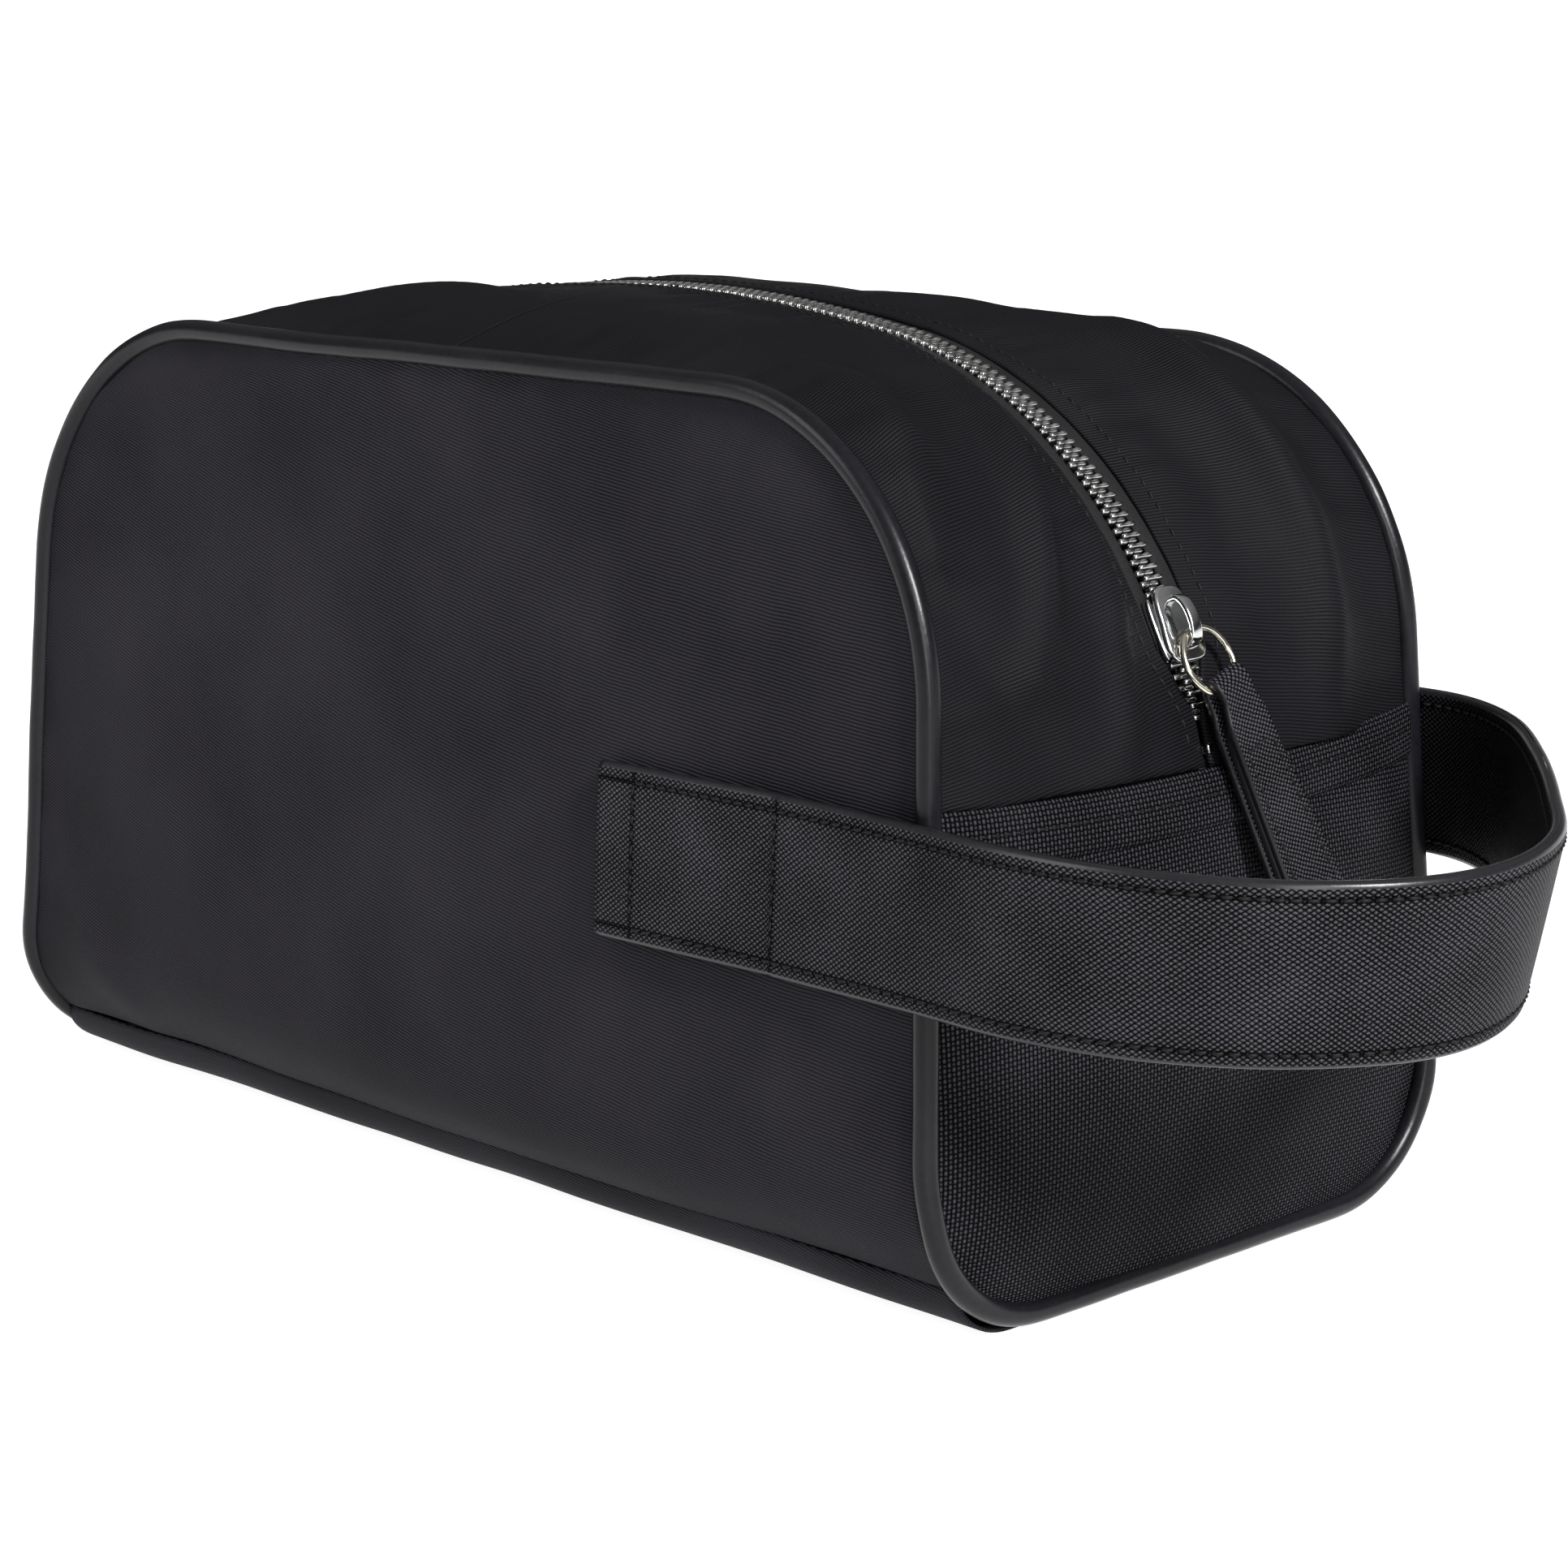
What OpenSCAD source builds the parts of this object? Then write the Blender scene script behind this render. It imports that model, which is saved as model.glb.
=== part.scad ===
// Boxy zip wash bag with a carry loop at one end.
// Origin: middle of the flat underside. X runs along the zip, -Y is the front, Z is up.
// Soft panels are closed shells: a grid of surface points, thickened between two offsets.

/* [Body] */
// Length between the end pipings at the base
body_len = 262; // [250:1:280]
// Depth between the pipings at the base
body_depth = 138; // [128:1:150]
// Height of the top piping above the ground
body_height = 156; // [150:1:170]
// How much each long wall leans in, per millimetre of height
wall_lean = 0.054; // [0:0.006:0.08]
// Radius of the top corners of the front and back panels
corner_r = 52; // [44:1:56]
// Radius where the walls turn under the bag
foot_r = 26; // [22:1:30]
// How far the front and back panels bulge past their piping
panel_crown = 4; // [2:0.5:6]
// How far the end panels bulge past their piping
end_crown = 9; // [6:0.5:10]
// Height of the seam between an end panel and the top band
seam_height = 90; // [86:1:94]

/* [Fabric] */
// Thickness of the outer nylon
nylon_t = 0.7; // [0.5:0.1:0.8]
// Thickness of the canvas on the ends
canvas_t = 1.0; // [0.8:0.1:1.2]
// Thickness of the foam in the long walls
foam_t = 3.0; // [2:0.5:4]
// Thickness of the lining
lining_t = 0.5; // [0.3:0.1:0.6]
// Diameter of the finished piping
piping_d = 4.4; // [4:0.1:4.6]

/* [Zip] */
// Height of the zip above the ground at the middle of the bag
zip_height = 166; // [164:1:172]
// Radius of the zip where it turns down over each end
zip_corner_r = 92; // [88:1:94]
// Gap between the two nylon folds
zip_gap = 13.5; // [13:0.5:15]
// Spacing of the teeth on one side
tooth_pitch = 2.15; // [2.1:0.05:2.4]
// Place of the slider on the corner arc, in degrees above the horizontal
slider_angle = 28; // [26:1:30]

/* [Puller] */
// Outside diameter of the ring
ring_od = 13.4; // [13:0.2:14]
// Thickness of the ring's wire
ring_wire = 1.3; // [1.1:0.1:1.4]
// Length of the leather tab below the ring
tab_len = 50; // [40:1:54]
// Width of the leather tab at its free end
tab_w = 16; // [13:0.5:17]
// Width of the leather tab near the ring
tab_top_w = 11; // [9:0.5:12]
// Sideways lean of the hanging puller
puller_lean = 18; // [12:1:22]

/* [Strap] */
// Width of the carry strap
strap_w = 31; // [28:1:32]
// Thickness of each of its two leather layers
strap_layer_t = 1.4; // [1.2:0.1:1.5]
// Height of the strap's middle above the ground
strap_height = 75; // [73:1:76]
// How much higher the strap sits on the back panel
strap_rise = 4; // [0:1:5]
// Outward lean of the strap at the far end of the loop
strap_lean = 11; // [0:1:14]

/* [Hidden] */

nylon_col = "#1d1f26";
canvas_col = "#24252a";
leather_col = "#17181b";
lining_col = "#3a3c44";
piping_col = "#101114";
metal_col = "silver";

gap = 0.1;                               // air between stacked layers
piping_r = piping_d / 2;
cord_r = piping_r - 0.8;
pipe_z = piping_r + 0.2;                 // centre of the piping under the ends
foot_cz = pipe_z + foot_r;
foot_cy = body_depth / 2 - wall_lean * foot_cz - foot_r;
end_taper = 0.05;                        // the ends lean in by this much per millimetre
shoulder_z = body_height - corner_r;     // centre height of the top corners
shoulder_x = body_len / 2 - end_taper * shoulder_z;
corner_cx = shoulder_x - corner_r;       // centre of the top corners
flat_edge = piping_r + 0.2;              // panels stop this far inside the piping's centre
skin_out = 0.4;                          // outer skin lies this far outside the centre line
bottom_seam_z = foot_cz - foot_r * sin(45);

// Half depth of the piping outline at height z
function half_depth(z) = z < foot_cz
    ? foot_cy + sqrt(max(0, foot_r * foot_r - pow(foot_cz - z, 2)))
    : body_depth / 2 - wall_lean * z;

// Half length of the front outline at height z
function half_len(z) = z < shoulder_z
    ? shoulder_x + end_taper * (shoulder_z - z)
    : corner_cx + sqrt(max(0, corner_r * corner_r - pow(z - shoulder_z, 2)));

// The same two outlines, inset by a distance that follows their rounded corners
function inner_depth(z, inset) = z < foot_cz
    ? foot_cy + sqrt(max(0, pow(foot_r - inset, 2) - pow(foot_cz - z, 2)))
    : half_depth(z) - inset;
function inner_len(z, inset) = z < shoulder_z
    ? half_len(z) - inset
    : corner_cx + sqrt(max(0, pow(corner_r - inset, 2) - pow(z - shoulder_z, 2)));

// 0 to 1 in n steps that bunch up towards both ends
function eased(i, n) = (1 - cos(180 * i / n)) / 2;

// ---- closed shells over a grid of points -------------------------------------------------
function unit(v) = v / norm(v);
function near(i, n) = min(max(i, 0), n - 1);
function grid_normal(g, i, j) = let (n = len(g), m = len(g[0]))
    unit(cross(g[i][near(j + 1, m)] - g[i][near(j - 1, m)],
               g[near(i + 1, n)][j] - g[near(i - 1, n)][j]));

// Shell between offsets lo and hi along the grid's normals
module shell(g, lo, hi) {
    n = len(g);
    m = len(g[0]);
    k = n * m;
    side = [for (o = [hi, lo]) for (i = [0:n - 1]) for (j = [0:m - 1])
        g[i][j] + o * grid_normal(g, i, j)];
    quads = concat(
        [for (i = [0:n - 2]) for (j = [0:m - 2])
            [i * m + j, (i + 1) * m + j, (i + 1) * m + j + 1, i * m + j + 1]],
        [for (i = [0:n - 2]) for (j = [0:m - 2])
            [k + i * m + j, k + i * m + j + 1, k + (i + 1) * m + j + 1, k + (i + 1) * m + j]],
        [for (j = [0:m - 2]) [j, j + 1, k + j + 1, k + j]],
        [for (j = [0:m - 2]) let (r = (n - 1) * m) [r + j + 1, r + j, k + r + j, k + r + j + 1]],
        [for (i = [0:n - 2]) [(i + 1) * m, i * m, k + i * m, k + (i + 1) * m]],
        [for (i = [0:n - 2]) let (c = m - 1)
            [i * m + c, (i + 1) * m + c, k + (i + 1) * m + c, k + i * m + c]]);
    polyhedron(side, [for (q = quads) for (h = [0, 1])
        h == 0 ? [q[0], q[1], q[2]] : [q[0], q[2], q[3]]]);
}

// Solid whose rings of points are joined in order; closed joins the last ring to the first
module skin_rings(rings, closed) {
    n = len(rings);
    m = len(rings[0]);
    last = closed ? n - 1 : n - 2;
    points = [for (r = rings) for (p = r) p];
    walls = [for (i = [0:last]) for (j = [0:m - 1])
        let (a = i * m, b = ((i + 1) % n) * m, q = (j + 1) % m)
        for (h = [0, 1]) h == 0 ? [a + j, b + j, b + q] : [a + j, b + q, a + q]];
    caps = closed ? [] : [[for (j = [0:m - 1]) j], [for (j = [0:m - 1]) n * m - 1 - j]];
    polyhedron(points, concat(walls, caps));
}

// ---- surfaces ----------------------------------------------------------------------------
// Front panel, inset from its edges, bulged between them
function front_point(u, z, inset) = let (
        v = (z - bottom_seam_z) / (body_height - bottom_seam_z),
        bulge = panel_crown * (1 - u * u) * pow(sin(180 * min(max(v, 0), 1)), 0.7))
    [u * inner_len(z, inset), -(half_depth(z) + skin_out + bulge), z];

function front_grid(rows, cols, inset) = let (
        z0 = bottom_seam_z + inset / 2, z1 = body_height - inset)
    [for (i = [0:rows]) [for (j = [0:cols])
        front_point(-1 + 2 * j / cols, z0 + (z1 - z0) * eased(i, rows), inset)]];

// Right end panel
function end_swell(z) = z < 50 ? end_crown * sin(90 * max(z - pipe_z, 0) / (50 - pipe_z))
    : end_crown - 3.5 * pow((z - 50) / 40, 2);
function end_point(w, z, inset) = [half_len(z) + skin_out + end_swell(z) * pow(1 - w * w, 0.8),
    w * inner_depth(z, inset), z];
function end_grid(rows, cols, inset, z0, z1) = [for (i = [0:rows]) let (
        z = z0 + (z1 - z0) * eased(i, rows))
    [for (j = [0:cols]) end_point(-1 + 2 * j / cols, z, inset)]];

// Top band: t runs along it, 0 at the middle and 1 at the right end seam.
// It is stretched between the piping line and the zip line.
pipe_flat = corner_cx;
pipe_arc = corner_r * PI / 2;
pipe_side = shoulder_z - seam_height;
pipe_run = pipe_flat + pipe_arc + pipe_side;
function pipe_line(t) = let (s = abs(t) * pipe_run, d = t < 0 ? -1 : 1)
    s < pipe_flat ? [d * s, body_height]
    : s < pipe_flat + pipe_arc
        ? let (a = 90 - (s - pipe_flat) / corner_r * 180 / PI)
            [d * (corner_cx + corner_r * cos(a)), shoulder_z + corner_r * sin(a)]
    : let (z = shoulder_z - (s - pipe_flat - pipe_arc)) [d * half_len(z), z];

zip_corner_x = 42;                       // centre of the zip's corner arc
zip_seam_angle = 12.5;                   // the zip ends at this angle, on the seam
zip_top_angle = 80;                      // the corner arc meets the long top arc here
zip_corner_z = seam_height - zip_corner_r * sin(zip_seam_angle) + 0.4;
zip_top_r = zip_corner_r + zip_corner_x / cos(zip_top_angle);
zip_top_cz = zip_height - zip_top_r;
zip_top_run = zip_top_r * (90 - zip_top_angle) * PI / 180;
zip_corner_run = zip_corner_r * (zip_top_angle - zip_seam_angle) * PI / 180;
zip_run = zip_top_run + zip_corner_run;
// Angle of the outward normal of the zip line, on its right half
function zip_angle(t) = let (s = abs(t) * zip_run)
    s < zip_top_run ? 90 - s / zip_top_r * 180 / PI
    : zip_top_angle - (s - zip_top_run) / zip_corner_r * 180 / PI;
function zip_line(t, lift) = let (a = zip_angle(t), d = t < 0 ? -1 : 1)
    abs(t) * zip_run < zip_top_run
    ? [d * (zip_top_r + lift) * cos(a), zip_top_cz + (zip_top_r + lift) * sin(a)]
    : [d * (zip_corner_x + (zip_corner_r + lift) * cos(a)),
       zip_corner_z + (zip_corner_r + lift) * sin(a)];

band_puff = 3;                           // the nylon bows out this far between its edges
function band_point(t, s) = let (f = pipe_line(t), q = zip_line(t, 0), a = zip_angle(t),
        puff = band_puff * sin(180 * s), d = t < 0 ? -1 : 1)
    [f[0] * (1 - s) + q[0] * s + d * puff * cos(a),
     -(half_depth(f[1]) * (1 - s) + zip_gap / 2 * s),
     f[1] * (1 - s) + q[1] * s + puff * sin(a)];
function band_grid(rows, cols, s0, s1, t0, t1) = [for (i = [0:rows])
    [for (j = [0:cols]) band_point(t0 + (t1 - t0) * j / cols, s0 + (s1 - s0) * i / rows)]];

flap_t = 0.255;                          // the opening part of the band ends here
corner_t = 0.259;                        // and the fixed corner starts here
band_s0 = 0.055;                         // clear of the piping
lining_s1 = 0.84;                        // the lining stops short of the zip tape

// ---- fabric ------------------------------------------------------------------------------
module front_panel() color(nylon_col) shell(front_grid(13, 18, flat_edge), -nylon_t, 0);
module back_panel() mirror([0, 1, 0]) front_panel();

// Profile of the underside, rolled up at front and back, at an offset inside its outer skin
roll_reach = foot_r * cos(45) + skin_out - 5;
function foot_roll(a, off) = [foot_cy + 5 + (roll_reach - off) * cos(a),
    bottom_seam_z - 0.3 - (bottom_seam_z - 0.3 - off) * sin(a)];
module underside(off, thick, half, roll) {
    outer = [for (k = [0:5]) foot_roll(roll + (90 - roll) * k / 5, off)];
    inner = [for (k = [5:-1:0]) foot_roll(roll + (90 - roll) * k / 5, off + thick)];
    rotate([90, 0, 90])
        linear_extrude(height = 2 * half, center = true)
            polygon(concat([for (p = outer) p], [for (k = [5:-1:0]) [-outer[k][0], outer[k][1]]],
                [for (k = [5:-1:0]) [-inner[k][0], inner[k][1]]], [for (p = inner) p]));
}
bottom_half = half_len(0) - flat_edge;
module bottom_panel() color(nylon_col) underside(0, nylon_t, bottom_half, 0);
module bottom_board() color("dimgray")
    translate([0, 0, nylon_t + gap + 1])
        cube([2 * bottom_half - 8, 2 * foot_cy - 6, 2], center = true);
module lining_bottom() color(lining_col)
    translate([0, 0, nylon_t + 2 * gap + 2 + lining_t / 2])
        cube([2 * bottom_half - 8, 2 * foot_cy + 6, lining_t], center = true);

end_low = pipe_z + flat_edge;
module end_panel_right() color(canvas_col)
    shell(end_grid(11, 12, flat_edge, end_low, seam_height - 0.4), -canvas_t, 0);
module end_panel_left() mirror([1, 0, 0]) end_panel_right();
// Folded top edge of the canvas
hem_h = 9;
module end_hem_right() color(canvas_col)
    shell(end_grid(2, 12, flat_edge, seam_height - hem_h, seam_height + 0.4), gap, gap + 0.7);
module end_hem_left() mirror([1, 0, 0]) end_hem_right();

module corner_gusset_front_right() color(nylon_col)
    shell(band_grid(6, 15, band_s0, 1, corner_t, 0.996), -nylon_t, 0);
module corner_gusset_front_left() mirror([1, 0, 0]) corner_gusset_front_right();
module corner_gusset_back_right() mirror([0, 1, 0]) corner_gusset_front_right();
module corner_gusset_back_left() mirror([1, 0, 0]) corner_gusset_back_right();
module top_flap_front() color(nylon_col)
    shell(band_grid(6, 12, band_s0, 1, -flap_t, flap_t), -nylon_t, 0);
module top_flap_back() mirror([0, 1, 0]) top_flap_front();

// ---- foam and lining ---------------------------------------------------------------------
foam_lo = -(nylon_t + 3 * gap + foam_t);
lining_lo = foam_lo - gap - lining_t;
module front_foam() color("gray")
    shell(front_grid(8, 10, 6), foam_lo, foam_lo + foam_t);
module back_foam() mirror([0, 1, 0]) front_foam();
module lining_front() color(lining_col)
    shell(front_grid(8, 10, 6), lining_lo, lining_lo + lining_t);
module lining_back() mirror([0, 1, 0]) lining_front();
end_lining_hi = -(canvas_t + 3 * gap);
module lining_end_right() color(lining_col)
    shell(end_grid(8, 8, 6, end_low + 3, seam_height - 0.4),
        end_lining_hi - lining_t, end_lining_hi);
module lining_end_left() mirror([1, 0, 0]) lining_end_right();
band_lining_hi = -(nylon_t + 4 * gap);
module flap_lining_front() color(lining_col)
    shell(band_grid(4, 10, 0.1, lining_s1, -flap_t, flap_t),
        band_lining_hi - lining_t, band_lining_hi);
module flap_lining_back() mirror([0, 1, 0]) flap_lining_front();
module corner_linings() color(lining_col)
    for (side = [0, 1]) mirror([side, 0, 0]) for (back = [0, 1]) mirror([0, back, 0])
        shell(band_grid(4, 10, 0.1, lining_s1, corner_t, 0.97),
            band_lining_hi - lining_t, band_lining_hi);

// ---- piping: one closed loop round both long panels and under both ends --------------------
side_steps = 6;
foot_steps = 5;
// One quarter of the loop's side: up the end of a long wall, foot to seam
function side_rise(n) = [for (k = [0:n - 1]) let (z = foot_cz + (seam_height - foot_cz) * k / n)
    [half_len(z), half_depth(z), z]];
function foot_turn(n) = [for (k = [0:n - 1]) let (a = 90 * k / n)
    [half_len(pipe_z), foot_cy + foot_r * sin(a), foot_cz - foot_r * cos(a)]];
function flip(points, sx, sy) = [for (p = points) [p[0] * sx, p[1] * sy, p[2]]];
function turned(points) = [for (k = [len(points) - 1:-1:0]) points[k]];
top_steps = 34;
over_top = [for (k = [0:top_steps]) let (p = pipe_line(1 - 2 * k / top_steps))
    [p[0], half_depth(p[1]), p[1]]];
side_up = concat(foot_turn(foot_steps), side_rise(side_steps));   // back right, ground to seam
half_loop = concat(side_up, over_top, turned(flip(side_up, -1, 1)));
inner_under = [for (k = [1:3]) [half_len(pipe_z), foot_cy * (1 - k / 2), pipe_z]];
loop_path = concat(half_loop, flip(inner_under, -1, 1), turned(flip(half_loop, 1, -1)),
    turned(inner_under));

// Rings of a section [outward, sideways] carried round a closed path
function ring_at(path, i, section) = let (
        n = len(path),
        along = unit(path[(i + 1) % n] - path[(i + n - 1) % n]),
        away = path[i] - [0, 0, body_height / 2],
        out = unit(away - (away * along) * along),
        side = cross(along, out))
    [for (s = section) path[i] + s[0] * out + s[1] * side];
// Wrapped cover with its slit on the inside, where the seam allowance leaves it
cover_section = concat(
    [for (k = [0:7]) let (a = -150 + 300 * k / 7) [piping_r * cos(a), piping_r * sin(a)]],
    [for (k = [5:-1:0]) let (a = -150 + 300 * k / 5) (cord_r + gap) * [cos(a), sin(a)]]);
module piping_cover() color(piping_col)
    skin_rings([for (i = [0:len(loop_path) - 1]) ring_at(loop_path, i, cover_section)], true);
module piping_cord() color("ivory")
    skin_rings([for (i = [0:len(loop_path) - 1]) ring_at(loop_path, i,
        [for (a = [30:60:330]) 0.95 * cord_r * [cos(a), sin(a)]])], true);

// ---- zip ---------------------------------------------------------------------------------
tape_t = 0.6;
tape_top = -(nylon_t + 0.15);            // the tape lies just under the folded nylon
tape_edge = 14;                          // half width of the whole tape
tooth_len = 4.4;
tooth_tip = 1.3;                         // each tooth reaches this far past the centre
tooth_h = 2.4;
tooth_t = 0.95;
tape_in = tooth_len - tooth_tip + 0.05;
function tape_grid(t0, t1, cols) = [for (y = [-tape_edge, -tape_in]) [for (j = [0:cols])
    let (p = zip_line(t0 + (t1 - t0) * j / cols, tape_top)) [p[0], y, p[1]]]];
module tape(t0, t1, cols) color("black") shell(tape_grid(t0, t1, cols), -tape_t, 0);
module zip_tape_top_front() tape(-flap_t, flap_t, 12);
module zip_tape_top_back() mirror([0, 1, 0]) zip_tape_top_front();
module zip_tape_ends() for (side = [0, 1]) mirror([side, 0, 0])
    for (back = [0, 1]) mirror([0, back, 0]) tape(corner_t, 0.985, 20);

// One row of teeth between two places on the zip line, each numbered from the middle
module tooth(t, side) let (p = zip_line(t, tape_top - tape_t / 2), d = t < 0 ? -1 : 1)
    translate([p[0], side * (tooth_len / 2 - tooth_tip), p[1]])
        rotate([0, d * (90 - zip_angle(t)), 0])
            cube([tooth_t, tooth_len, tooth_h], center = true);
tooth_step = tooth_pitch / zip_run;
slider_t = (zip_top_run + (zip_top_angle - slider_angle) * PI / 180 * zip_corner_r) / zip_run;
neck_lo = slider_t - 7 / zip_run;        // the slider's neck parts the teeth here
neck_hi = slider_t - 1.5 / zip_run;
module teeth(first, last, side, shift) color(metal_col)
    for (k = [first:last]) let (t = (k + shift) * tooth_step)
        if (t < neck_lo || t > neck_hi) tooth(t, side);
top_teeth = floor(flap_t / tooth_step) - 1;
end_teeth = floor(0.97 / tooth_step);
module zip_teeth_top_front() teeth(-top_teeth, top_teeth, -1, 0);
module zip_teeth_top_back() teeth(-top_teeth, top_teeth, 1, 0.5);
module zip_teeth_ends() {
    teeth(top_teeth + 2, end_teeth, -1, 0);
    teeth(top_teeth + 2, end_teeth, 1, 0.5);
    teeth(-end_teeth, -top_teeth - 2, -1, 0);
    teeth(-end_teeth, -top_teeth - 2, 1, 0.5);
}
module zip_stops() color(metal_col) for (end = [-1, 1]) for (side = [-1, 1])
    let (p = zip_line(end * 0.982, tape_top - tape_t / 2))
        translate([p[0], side * 1.95, p[1]]) rotate([0, end * (90 - zip_angle(0.982)), 0])
            cube([1.6, 2.2, 2.6], center = true);

// ---- slider, drawn with X outward and Z up the zip -----------------------------------------
slider_w = 10.4;
slider_len = 14;
plate_t = 1.4;
plate_top = 1.9;                         // outer face of the top plate above the zip line
plate_low = -4.4;                        // underside of the bottom plate
pivot_out = 3.4;                         // the ring hangs this far above the zip line
pivot_z = -2;                            // and this far from the slider's middle
bail_w = 2.6;
bail_t = 1;
bail_out = 6;
module slider_frame() translate([zip_corner_x + zip_corner_r * cos(slider_angle), 0,
    zip_corner_z + zip_corner_r * sin(slider_angle)]) rotate([0, -slider_angle, 0]) children();
module slider_plate(x, w, l) translate([x, 0, 0]) rotate([0, 90, 0])
    linear_extrude(height = plate_t) hull() {
        translate([-l / 2 + w / 2.6, 0]) circle(d = w, $fn = 32);
        translate([l / 2 - w / 4, 0]) square([w / 2, w * 0.8], center = true);
    }
module slider_body() color(metal_col) slider_frame() {
    slider_plate(plate_top - plate_t, slider_w, slider_len);
    slider_plate(plate_low, slider_w, slider_len);
    translate([(plate_low + plate_top) / 2, 0, 4.2])
        cube([plate_top - plate_low - 0.4, 2.6, 3], center = true);
    for (side = [-1, 1]) {
        translate([-0.1, side * (slider_w / 2 - 0.7), -2]) cube([1.4, 1.4, 8], center = true);
        translate([-2.7, side * (slider_w / 2 - 0.7), -2]) cube([1.2, 1.4, 8], center = true);
    }
}
// Arch that the ring hangs in
module slider_bail() color(metal_col) slider_frame()
    rotate([90, 0, 0]) linear_extrude(height = bail_w, center = true) difference() {
        translate([plate_top + 0.02, -4.6]) square([bail_out - plate_top, 9.2]);
        translate([plate_top - 0.5, -3.4]) square([bail_out - bail_t - plate_top + 0.5, 6.8]);
    }

// ---- puller --------------------------------------------------------------------------------
ring_r = (ring_od - ring_wire) / 2;
tab_kink = 12;                           // the leather falls back towards the bag by this much
module puller_frame() slider_frame() translate([pivot_out, 0, pivot_z])
    rotate([puller_lean, 0, 0]) children();
module pull_ring() color("lightgray") puller_frame() translate([0, 0, -ring_r])
    rotate([0, 90, 0]) rotate_extrude($fn = 48) translate([ring_r, 0]) circle(d = ring_wire, $fn = 20);
module tab_frame() puller_frame() translate([0, 0, -2 * ring_r]) rotate([0, tab_kink, 0]) children();
leaf_t = 1.5;                            // each leaf of the folded leather
filler_t = 1.3;
neck_w = 7;                              // narrow enough to pass through the ring
eye_w = 2.5;
module leaf_outline(trim) polygon([[-tab_w / 2 + trim, -tab_len], [tab_w / 2 - trim, -tab_len],
    [tab_top_w / 2 - trim, -6], [-tab_top_w / 2 + trim, -6]]);
module puller_leather() color(leather_col) tab_frame() {
    rotate([90, 0, 0]) linear_extrude(height = neck_w, center = true) difference() {
        hull() {
            translate([0, 1.1]) circle(d = eye_w + 2 * leaf_t, $fn = 32);
            translate([0, -7]) square([filler_t + 2 * leaf_t, 1], center = true);
        }
        hull() for (y = [1.1, -1.8]) translate([0, y]) circle(d = eye_w, $fn = 32);
        translate([-filler_t / 2, -8]) square([filler_t, 5.4]);
    }
    for (side = [-1, 1]) translate([side * (filler_t + leaf_t) / 2, 0, 0]) rotate([90, 0, 90])
        linear_extrude(height = leaf_t, center = true) leaf_outline(0);
}
module puller_filler() color("#2a2b2f") tab_frame() rotate([90, 0, 90])
    linear_extrude(height = filler_t - 0.1, center = true) translate([0.15, 0])
        leaf_outline(0.15);

// ---- carry strap ---------------------------------------------------------------------------
// Plan of the strap's middle, from the front panel round the loop to the back panel
strap_plan = [[98, -68.8], [112, -69.2], [130, -70.4], [152, -72], [174, -69], [194, -59],
    [207, -43], [211, -24], [205, -3], [190, 18], [171, 41], [152, 60], [133, 69.6],
    [112, 69.2], [98, 68.8]];
strap_knots = len(strap_plan) - 1;
function knot(i) = strap_plan[near(i, strap_knots + 1)];
// Smooth curve through the knots
function strap_at(s) = let (i = min(floor(s), strap_knots - 1), f = s - i,
        a = knot(i - 1), b = knot(i), c = knot(i + 1), d = knot(i + 2))
    0.5 * (2 * b + (c - a) * f + (2 * a - 5 * b + 4 * c - d) * f * f
        + (3 * b - 3 * c + d - a) * f * f * f);
function step01(x) = let (c = min(max(x, 0), 1)) c * c * (3 - 2 * c);
function strap_up(s) = strap_height + strap_rise * step01((s - 6) / 6);
function strap_tilt(s) = strap_lean * step01((s - 2) / 4) * step01((strap_knots - 2 - s) / 4);
function strap_ring(s, lo, hi) = let (
        p = strap_at(s), q = strap_at(s + 0.01) - strap_at(s - 0.01),
        out = unit([q[1], -q[0], 0]), a = strap_tilt(s), w = strap_w / 2,
        wide = [0, 0, cos(a)] + sin(a) * out, thick = cos(a) * out - [0, 0, sin(a)],
        mid = [p[0], p[1], strap_up(s)] - (w * sin(a)) * out)
    [mid + w * wide + hi * thick, mid + w * wide + lo * thick,
     mid - w * wide + lo * thick, mid - w * wide + hi * thick];
module strap_run(s0, s1, steps, lo, hi) color(leather_col)
    skin_rings([for (k = [0:steps]) strap_ring(s0 + (s1 - s0) * k / steps, lo, hi)], false);
flex_end = 1;                            // knot where the free loop starts
module strap_loop_outer() strap_run(flex_end + 0.02, strap_knots - flex_end - 0.02, 48,
    gap, strap_layer_t);
module strap_loop_inner() strap_run(flex_end + 0.02, strap_knots - flex_end - 0.02, 48,
    -strap_layer_t, -gap);
module strap_flex_front() strap_run(0.04, flex_end - 0.02, 4, -strap_layer_t, strap_layer_t);
module strap_flex_back() strap_run(strap_knots - flex_end + 0.02, strap_knots - 0.04, 4,
    -strap_layer_t, strap_layer_t);
// Sewn ends, lying on the panel
tab_out = 55;
tab_in = 98;
function on_front(x, z) = front_point(x / inner_len(z, flat_edge), z, flat_edge);
module sewn_tab(mid_z) color(leather_col)
    shell([for (i = [0:4]) [for (j = [0:6])
        on_front(tab_out + (tab_in - tab_out) * j / 6, mid_z - strap_w / 2 + strap_w * i / 4)]],
        0.2, 0.2 + 2 * strap_layer_t);
module strap_tab_front() sewn_tab(strap_height);
module strap_tab_back() mirror([0, 1, 0]) sewn_tab(strap_height + strap_rise);

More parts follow.
